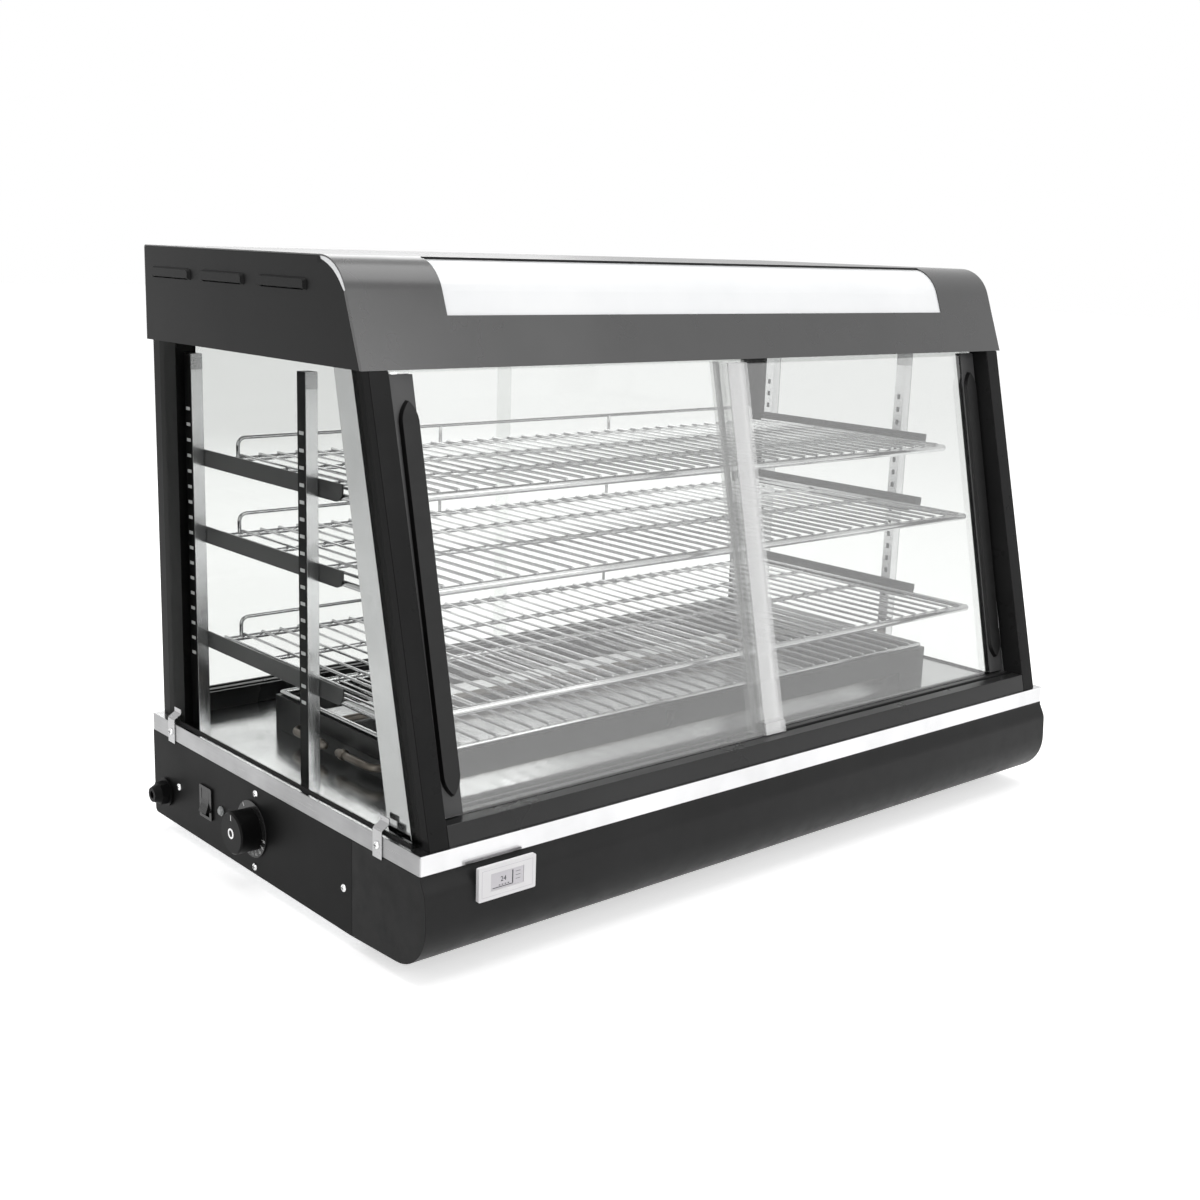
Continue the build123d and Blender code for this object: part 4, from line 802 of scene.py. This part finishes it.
for side, y, z, seat_x in seats:
    add_lathe(heads, (side * seat_x, y, z), (side, 0, 0), SCREW_HEAD, sides=28)
    add_lathe(heads, (side * seat_x, y, z), (-side, 0, 0), SCREW_SHANK, sides=16)
    # Each cross recess is a black mark: painted shade in the hole
    for half_y, half_z in RECESS_BARS:
        low = (y - half_y, z - half_z)
        high = (y + half_y, z + half_z)
        add_side_block(recess_shade, side, seat_x + RECESS_LOW, seat_x + RECESS_HIGH, low, high)
bmesh.ops.recalc_face_normals(heads, faces=heads.faces[:])
finish_mesh("screw_heads", heads, screw_steel, replaced=("screws",))
finish_mesh("screw_recesses", recess_shade, rubber_and_shade_black, smooth=False)

# The dial's index, ticks and plain numbers, and the knob's pointer and bright ring
DIAL_FACE_X = -451.5
KNOB_FACE_X = -473.0
MARK_RISE = 0.08
INDEX_TURN = 124.0
INDEX_BAR = (23.6, 27.6, 1.3)
FIRST_NUMBER_TURN = -13.0
NUMBER_STEP = 18.0
NUMBERS = range(30, 101, 10)
NUMBER_BAR = (21.6, 23.0, 0.5)
NUMBER_RADIUS = 25.4
NUMBER_SIZE = 4.0
POINTER_TURN = 90.0
POINTER_BAR = (13.0, 18.6, 1.2)
RING_PROFILE = [(0.0, 3.4), (0.5, 3.4), (0.6, 3.7), (0.6, 4.9), (0.4, 5.3), (0.0, 5.3)]


def add_tick(work, face_x, turn, bar):
    """Add a raised radial line, a bar of (inner end, outer end, width), on a face that looks left."""
    inner, outer, width = bar
    angle = math.radians(turn)
    along = Vector((0.0, -math.cos(angle), math.sin(angle)))
    aside = Vector((0.0, math.sin(angle), math.cos(angle)))
    middle = Vector((face_x, DIAL_Y, DIAL_Z))
    corners = []
    for reach, way in ((inner, -1), (outer, -1), (outer, 1), (inner, 1)):
        corners.append(middle + along * reach + aside * (way * width / 2))
    outline = [(corner.y, corner.z) for corner in corners]
    add_prism(work, outline, face_x - MARK_RISE, face_x)


marks = bmesh.new()
add_tick(marks, DIAL_FACE_X, INDEX_TURN, INDEX_BAR)
for number, label in enumerate(NUMBERS):
    turn = FIRST_NUMBER_TURN - NUMBER_STEP * number
    add_tick(marks, DIAL_FACE_X, turn, NUMBER_BAR)
    angle = math.radians(turn)
    y = DIAL_Y - NUMBER_RADIUS * math.cos(angle)
    z = DIAL_Z + NUMBER_RADIUS * math.sin(angle)
    add_text(marks, str(label), NUMBER_SIZE, (DIAL_FACE_X - TEXT_RISE, y, z), (0, -1, 0), (0, 0, 1))
finish_mesh("dial_marks", marks, mark_and_slot_light_white, smooth=False)

work = bmesh.new()
add_tick(work, KNOB_FACE_X, POINTER_TURN, POINTER_BAR)
finish_mesh("knob_pointer", work, mark_and_slot_light_white, "knob", smooth=False)
work = bmesh.new()
add_lathe(work, (KNOB_FACE_X, DIAL_Y, DIAL_Z), (-1, 0, 0), RING_PROFILE, sides=48)
bmesh.ops.recalc_face_normals(work, faces=work.faces[:])
finish_mesh("knob_ring", work, screw_steel, "knob")

# The thermometer's small display, its digits, a painted shadow along the right and lower edges of the
# digits' window, and the fine lines round it
SCREEN_SETBACK = 1.0
SCREEN_THICKNESS = 0.25
INK_RISE = 0.12
DIGITS_SIZE = 6.4
DIGITS_X = -371.0
DIGITS_Z = 87.6
SCREEN_BARS = [(-384.6, 79.4, -349.4, 94.6)]
# The first two bars are painted shadow along the right and lower edges of the digits' window; the
# others are marks on the screen
INK_AND_SHADOW_BARS = [(-361.6, 81.6, -360.4, 93.4), (-382.6, 80.6, -360.4, 81.3)]
INK_AND_SHADOW_BARS += [(x, 82.2, x + 1.6, 83.0) for x in (-376.0, -372.8, -369.6, -366.4)]
INK_AND_SHADOW_BARS += [(-357.6, z, -352.6, z + 0.35) for z in (84.0, 87.4, 90.8)]
BORDER_BARS = [
    (-394.6, 74.7, -339.4, 75.0),
    (-394.6, 99.0, -339.4, 99.3),
    (-394.6, 75.0, -394.3, 99.0),
    (-339.7, 75.0, -339.4, 99.0),
]
screen_y = THERMOMETER_FACE_Y + SCREEN_SETBACK
ink_y = screen_y - SCREEN_THICKNESS
work = bmesh.new()
add_front_bars(work, SCREEN_BARS, screen_y, SCREEN_THICKNESS)
finish_mesh("thermometer_screen", work, screen_grey, smooth=False)
ink = bmesh.new()
add_text(ink, "24", DIGITS_SIZE, (DIGITS_X, ink_y - TEXT_RISE, DIGITS_Z), (1, 0, 0), (0, 0, 1))
add_front_bars(ink, INK_AND_SHADOW_BARS, ink_y, INK_RISE)
finish_mesh("thermometer_digits_and_shadow", ink, screen_ink_and_shadow, smooth=False)
work = bmesh.new()
add_front_bars(work, BORDER_BARS, THERMOMETER_FACE_Y, MARK_RISE)
finish_mesh("thermometer_border", work, screen_grey, smooth=False)

# The canopy ends: a bright crescent, painted highlight for the light on the edge where the end panel
# falls short of the curved sheet
CRESCENT_OUTER = 1.5
CRESCENT_INNER = 6.2
CRESCENT_TIP = 0.3
CRESCENT_FULLNESS = 0.6
TRIM_THICKNESS = 0.15
# The notch's corners in y and z, from the crescent's upper tip
NOTCH_LOW = (-1.0, -5.2)
NOTCH_HIGH = (4.4, -0.6)


def canopy_edge(inset):
    """The canopy's side outline round its curve, set in from the sheet, in millimetres."""
    top = CANOPY_TOP - inset
    lean = inset / math.cos(CANOPY_LEAN)
    points = [
        (0.0, 0.0, top),
        (0.0, canopy_face(top) + lean, top),
        (0.0, CANOPY_FRONT_Y + lean, CANOPY_BOTTOM),
    ]
    return rounded(points, CANOPY_RADIUS - inset, steps=24)[1:-1]


outer_edge = canopy_edge(CRESCENT_OUTER)
inner_edge = canopy_edge(CRESCENT_INNER)
highlight_crescent = list(outer_edge)
for number in reversed(range(len(outer_edge))):
    bulge = math.sin(math.pi * number / (len(outer_edge) - 1)) ** CRESCENT_FULLNESS
    share = CRESCENT_TIP + (1 - CRESCENT_TIP) * bulge
    highlight_crescent.append(outer_edge[number].lerp(inner_edge[number], share))
outline = [(point.y, point.z) for point in highlight_crescent]
tip = outer_edge[0]
notch_low = (tip.y + NOTCH_LOW[0], tip.z + NOTCH_LOW[1])
notch_high = (tip.y + NOTCH_HIGH[0], tip.z + NOTCH_HIGH[1])
trim_x = CANOPY_HALF_WIDTH + TRIM_THICKNESS
for side, side_name in ((-1, "left"), (1, "right")):
    work = bmesh.new()
    add_prism(work, outline, *sorted((side * CANOPY_HALF_WIDTH, side * trim_x)))
    finish_mesh(f"canopy_crescent_{side_name}", work, sign_white, smooth=False)
    work = bmesh.new()
    add_side_block(work, side, CANOPY_HALF_WIDTH, trim_x, notch_low, notch_high)
    finish_mesh(f"canopy_notch_{side_name}", work, rubber_and_shade_black, smooth=False)

# A black strip along the sign's upper edge: painted shadow in the gap between the roof sheet and the
# sign
SIGN_GAP_LOW = (-347.0, -95.4, 605.9)
SIGN_GAP_HIGH = (347.0, -93.1, 607.2)
work = bmesh.new()
add_block(work, SIGN_GAP_LOW, SIGN_GAP_HIGH)
finish_mesh("sign_gap_shadow", work, rubber_and_shade_black, smooth=False)

# Black gaskets under the side panes
GASKET_THICKNESS = 1.6
GASKET_LOW = (-226.0, FLOOR_TOP)
GASKET_HIGH = (224.0, FLOOR_TOP + 2.2)
for side, side_name in ((-1, "left"), (1, "right")):
    work = bmesh.new()
    add_side_block(work, side, GLASS_OUTER_X, GLASS_OUTER_X + GASKET_THICKNESS, GASKET_LOW, GASKET_HIGH)
    finish_mesh(f"pane_gasket_{side_name}", work, rubber_and_shade_black, smooth=False)

# The uprights seen through the side glass: a dark sheet, painted shade, over each channel's open side,
# with bright marks, painted light, where the slots let light through, and dark marks, painted shade,
# for the slots seen from the shelves
UPRIGHT_TOP = 488.6
UPRIGHT_CAP_TOP = 504.0
UPRIGHT_FACE_X = UPRIGHT_OUTER_X + 0.4
FIRST_SLOT_Z = 198.2
SLOT_PITCH = 15.7
SLOT_COUNT = 17
# The thin marks of painted light and shade that stand for slots: near and far x, half width and half
# height
SLOT_LIGHT = (UPRIGHT_FACE_X, UPRIGHT_FACE_X + 0.2, 3.8, 1.6)
SLOT_SHADE = (UPRIGHT_INNER_X - 0.1, UPRIGHT_INNER_X + 0.1, 2.2, 3.0)


def add_slots(work, side, y, slot):
    """Add an upright's row of slots, one above the other."""
    near, far, half_y, half_z = slot
    for number in range(SLOT_COUNT):
        z = FIRST_SLOT_Z + SLOT_PITCH * number
        add_side_block(work, side, near, far, (y - half_y, z - half_z), (y + half_y, z + half_z))


faces = bmesh.new()
slot_light = bmesh.new()
slot_shade = bmesh.new()
caps = bmesh.new()
for side in (-1, 1):
    for y in UPRIGHT_PLACES.values():
        face_foot = (y - UPRIGHT_HALF_DEPTH, FLOOR_TOP)
        cap_foot = (y - UPRIGHT_HALF_DEPTH, UPRIGHT_TOP)
        head = (y + UPRIGHT_HALF_DEPTH, UPRIGHT_CAP_TOP)
        add_side_block(faces, side, UPRIGHT_OUTER_X, UPRIGHT_FACE_X, face_foot, head)
        add_side_block(caps, side, UPRIGHT_INNER_X, UPRIGHT_OUTER_X, cap_foot, head)
        add_slots(slot_light, side, y, SLOT_LIGHT)
        add_slots(slot_shade, side, y, SLOT_SHADE)
finish_mesh("upright_tops", caps, clip_steel, smooth=False)
finish_mesh("upright_face_shade", faces, post_and_shade_black, smooth=False)
finish_mesh("upright_slot_light", slot_light, mark_and_slot_light_white, smooth=False)
finish_mesh("upright_slot_shade", slot_shade, rubber_and_shade_black, smooth=False)

# The clear shoe at the foot of the left door's edge seal
SHOE_BOTTOM = 141.2
SHOE_TOP = 153.0
SHOE_HALF_DEPTH = 5.4
SHOE_LEFT = -11.5
SHOE_RIGHT = 17.5
shoe_foot = door_line(SHOE_BOTTOM, 0)
shoe_head = door_line(SHOE_TOP, 0)
shoe = [
    (shoe_foot - SHOE_HALF_DEPTH, SHOE_BOTTOM),
    (shoe_foot + SHOE_HALF_DEPTH, SHOE_BOTTOM),
    (shoe_head + SHOE_HALF_DEPTH, SHOE_TOP),
    (shoe_head - SHOE_HALF_DEPTH, SHOE_TOP),
]
work = bmesh.new()
add_prism(work, shoe, SHOE_LEFT, SHOE_RIGHT)
finish_mesh("door_seal_shoe", work, seal_clear, "front_door_left", smooth=False)


# Floor, light and camera

FLOOR_HALF = 15.0
FLOOR_GLOW = 0.55
SKY_LIGHT = 0.55
SKY_SEEN = 1.0
LIGHT_TARGET = Vector((0.0, 0.0, 0.3))


def seen_directly(nodes, links):
    """1 for rays from the camera, and for those that metal or glass sends on."""
    path = nodes.new("ShaderNodeLightPath")
    first = nodes.new("ShaderNodeMath")
    first.operation = "MAXIMUM"
    links.new(path.outputs["Is Camera Ray"], first.inputs[0])
    links.new(path.outputs["Is Glossy Ray"], first.inputs[1])
    second = nodes.new("ShaderNodeMath")
    second.operation = "MAXIMUM"
    links.new(first.outputs["Value"], second.inputs[0])
    links.new(path.outputs["Is Transmission Ray"], second.inputs[1])
    return second.outputs["Value"]


def add_floor(finish):
    """A large flat square on the ground."""
    mesh = bpy.data.meshes.new("floor")
    corners = [(x * FLOOR_HALF, y * FLOOR_HALF, 0.0) for x, y in ((-1, -1), (1, -1), (1, 1), (-1, 1))]
    mesh.from_pydata(corners, [], [(0, 1, 2, 3)])
    floor = bpy.data.objects.new("floor", mesh)
    bpy.context.scene.collection.objects.link(floor)
    mesh.materials.append(finish)


def soft_light(name, place, size, power):
    """A large soft lamp aimed at the part."""
    lamp = bpy.data.lights.new(name, "AREA")
    lamp.shape = "RECTANGLE"
    lamp.size, lamp.size_y = size
    lamp.energy = power
    holder = bpy.data.objects.new(name, lamp)
    bpy.context.scene.collection.objects.link(holder)
    holder.location = place
    holder.rotation_euler = (LIGHT_TARGET - Vector(place)).to_track_quat("-Z", "Y").to_euler()


floor_paint, nodes, links, shader = material("floor_paint", (0.86, 0.86, 0.86), 0.6)
glow = nodes.new("ShaderNodeEmission")
glow.inputs["Color"].default_value = (1.0, 1.0, 1.0, 1.0)
strength = nodes.new("ShaderNodeMath")
strength.operation = "MULTIPLY"
strength.inputs[1].default_value = FLOOR_GLOW
links.new(seen_directly(nodes, links), strength.inputs[0])
links.new(strength.outputs["Value"], glow.inputs["Strength"])
both = nodes.new("ShaderNodeAddShader")
links.new(shader.outputs["BSDF"], both.inputs[0])
links.new(glow.outputs["Emission"], both.inputs[1])
links.new(both.outputs["Shader"], nodes["Material Output"].inputs["Surface"])
add_floor(floor_paint)

world = bpy.data.worlds.new("studio")
bpy.context.scene.world = world
world.use_nodes = True
nodes = world.node_tree.nodes
links = world.node_tree.links
sky = nodes["Background"]
sky.inputs["Color"].default_value = (1.0, 1.0, 1.0, 1.0)
level = nodes.new("ShaderNodeMapRange")
level.inputs["To Min"].default_value = SKY_LIGHT
level.inputs["To Max"].default_value = SKY_SEEN
links.new(seen_directly(nodes, links), level.inputs["Value"])
links.new(level.outputs["Result"], sky.inputs["Strength"])

soft_light("top_light", (0.0, -0.3, 2.6), (2.6, 2.0), 32.0)
soft_light("front_light", (0.6, -2.8, 1.5), (1.6, 1.6), 22.0)
soft_light("left_light", (-2.6, -0.8, 1.2), (1.2, 1.6), 10.0)
soft_light("rear_light", (0.8, 2.4, 1.8), (2.0, 1.4), 18.0)

# The camera's turn in radians, its place in metres and its lens in millimetres
YAW = 0.722141
PITCH = 0.225028
ROLL = 0.033947
CAMERA_PLACE = Vector((-1.148587, -1.256182, 0.625282))
SENSOR_WIDTH = 36.0
LENS = 46.9725
level_ahead = Vector((math.sin(YAW), math.cos(YAW), 0.0))
ahead = level_ahead * math.cos(PITCH) - Vector((0.0, 0.0, math.sin(PITCH)))
level_right = Vector((math.cos(YAW), -math.sin(YAW), 0.0))
level_up = level_right.cross(ahead)
right = level_right * math.cos(ROLL) + level_up * math.sin(ROLL)
up = level_up * math.cos(ROLL) - level_right * math.sin(ROLL)
camera_data = bpy.data.cameras.new("camera")
camera_data.sensor_fit = "HORIZONTAL"
camera_data.sensor_width = SENSOR_WIDTH
camera_data.lens = LENS
camera = bpy.data.objects.new("camera", camera_data)
bpy.context.scene.collection.objects.link(camera)
turn = Matrix((right, up, -ahead)).transposed().to_4x4()
camera.matrix_world = Matrix.Translation(CAMERA_PLACE + SHIFT * MM) @ turn
bpy.context.scene.camera = camera
bpy.context.scene.view_settings.view_transform = "Standard"
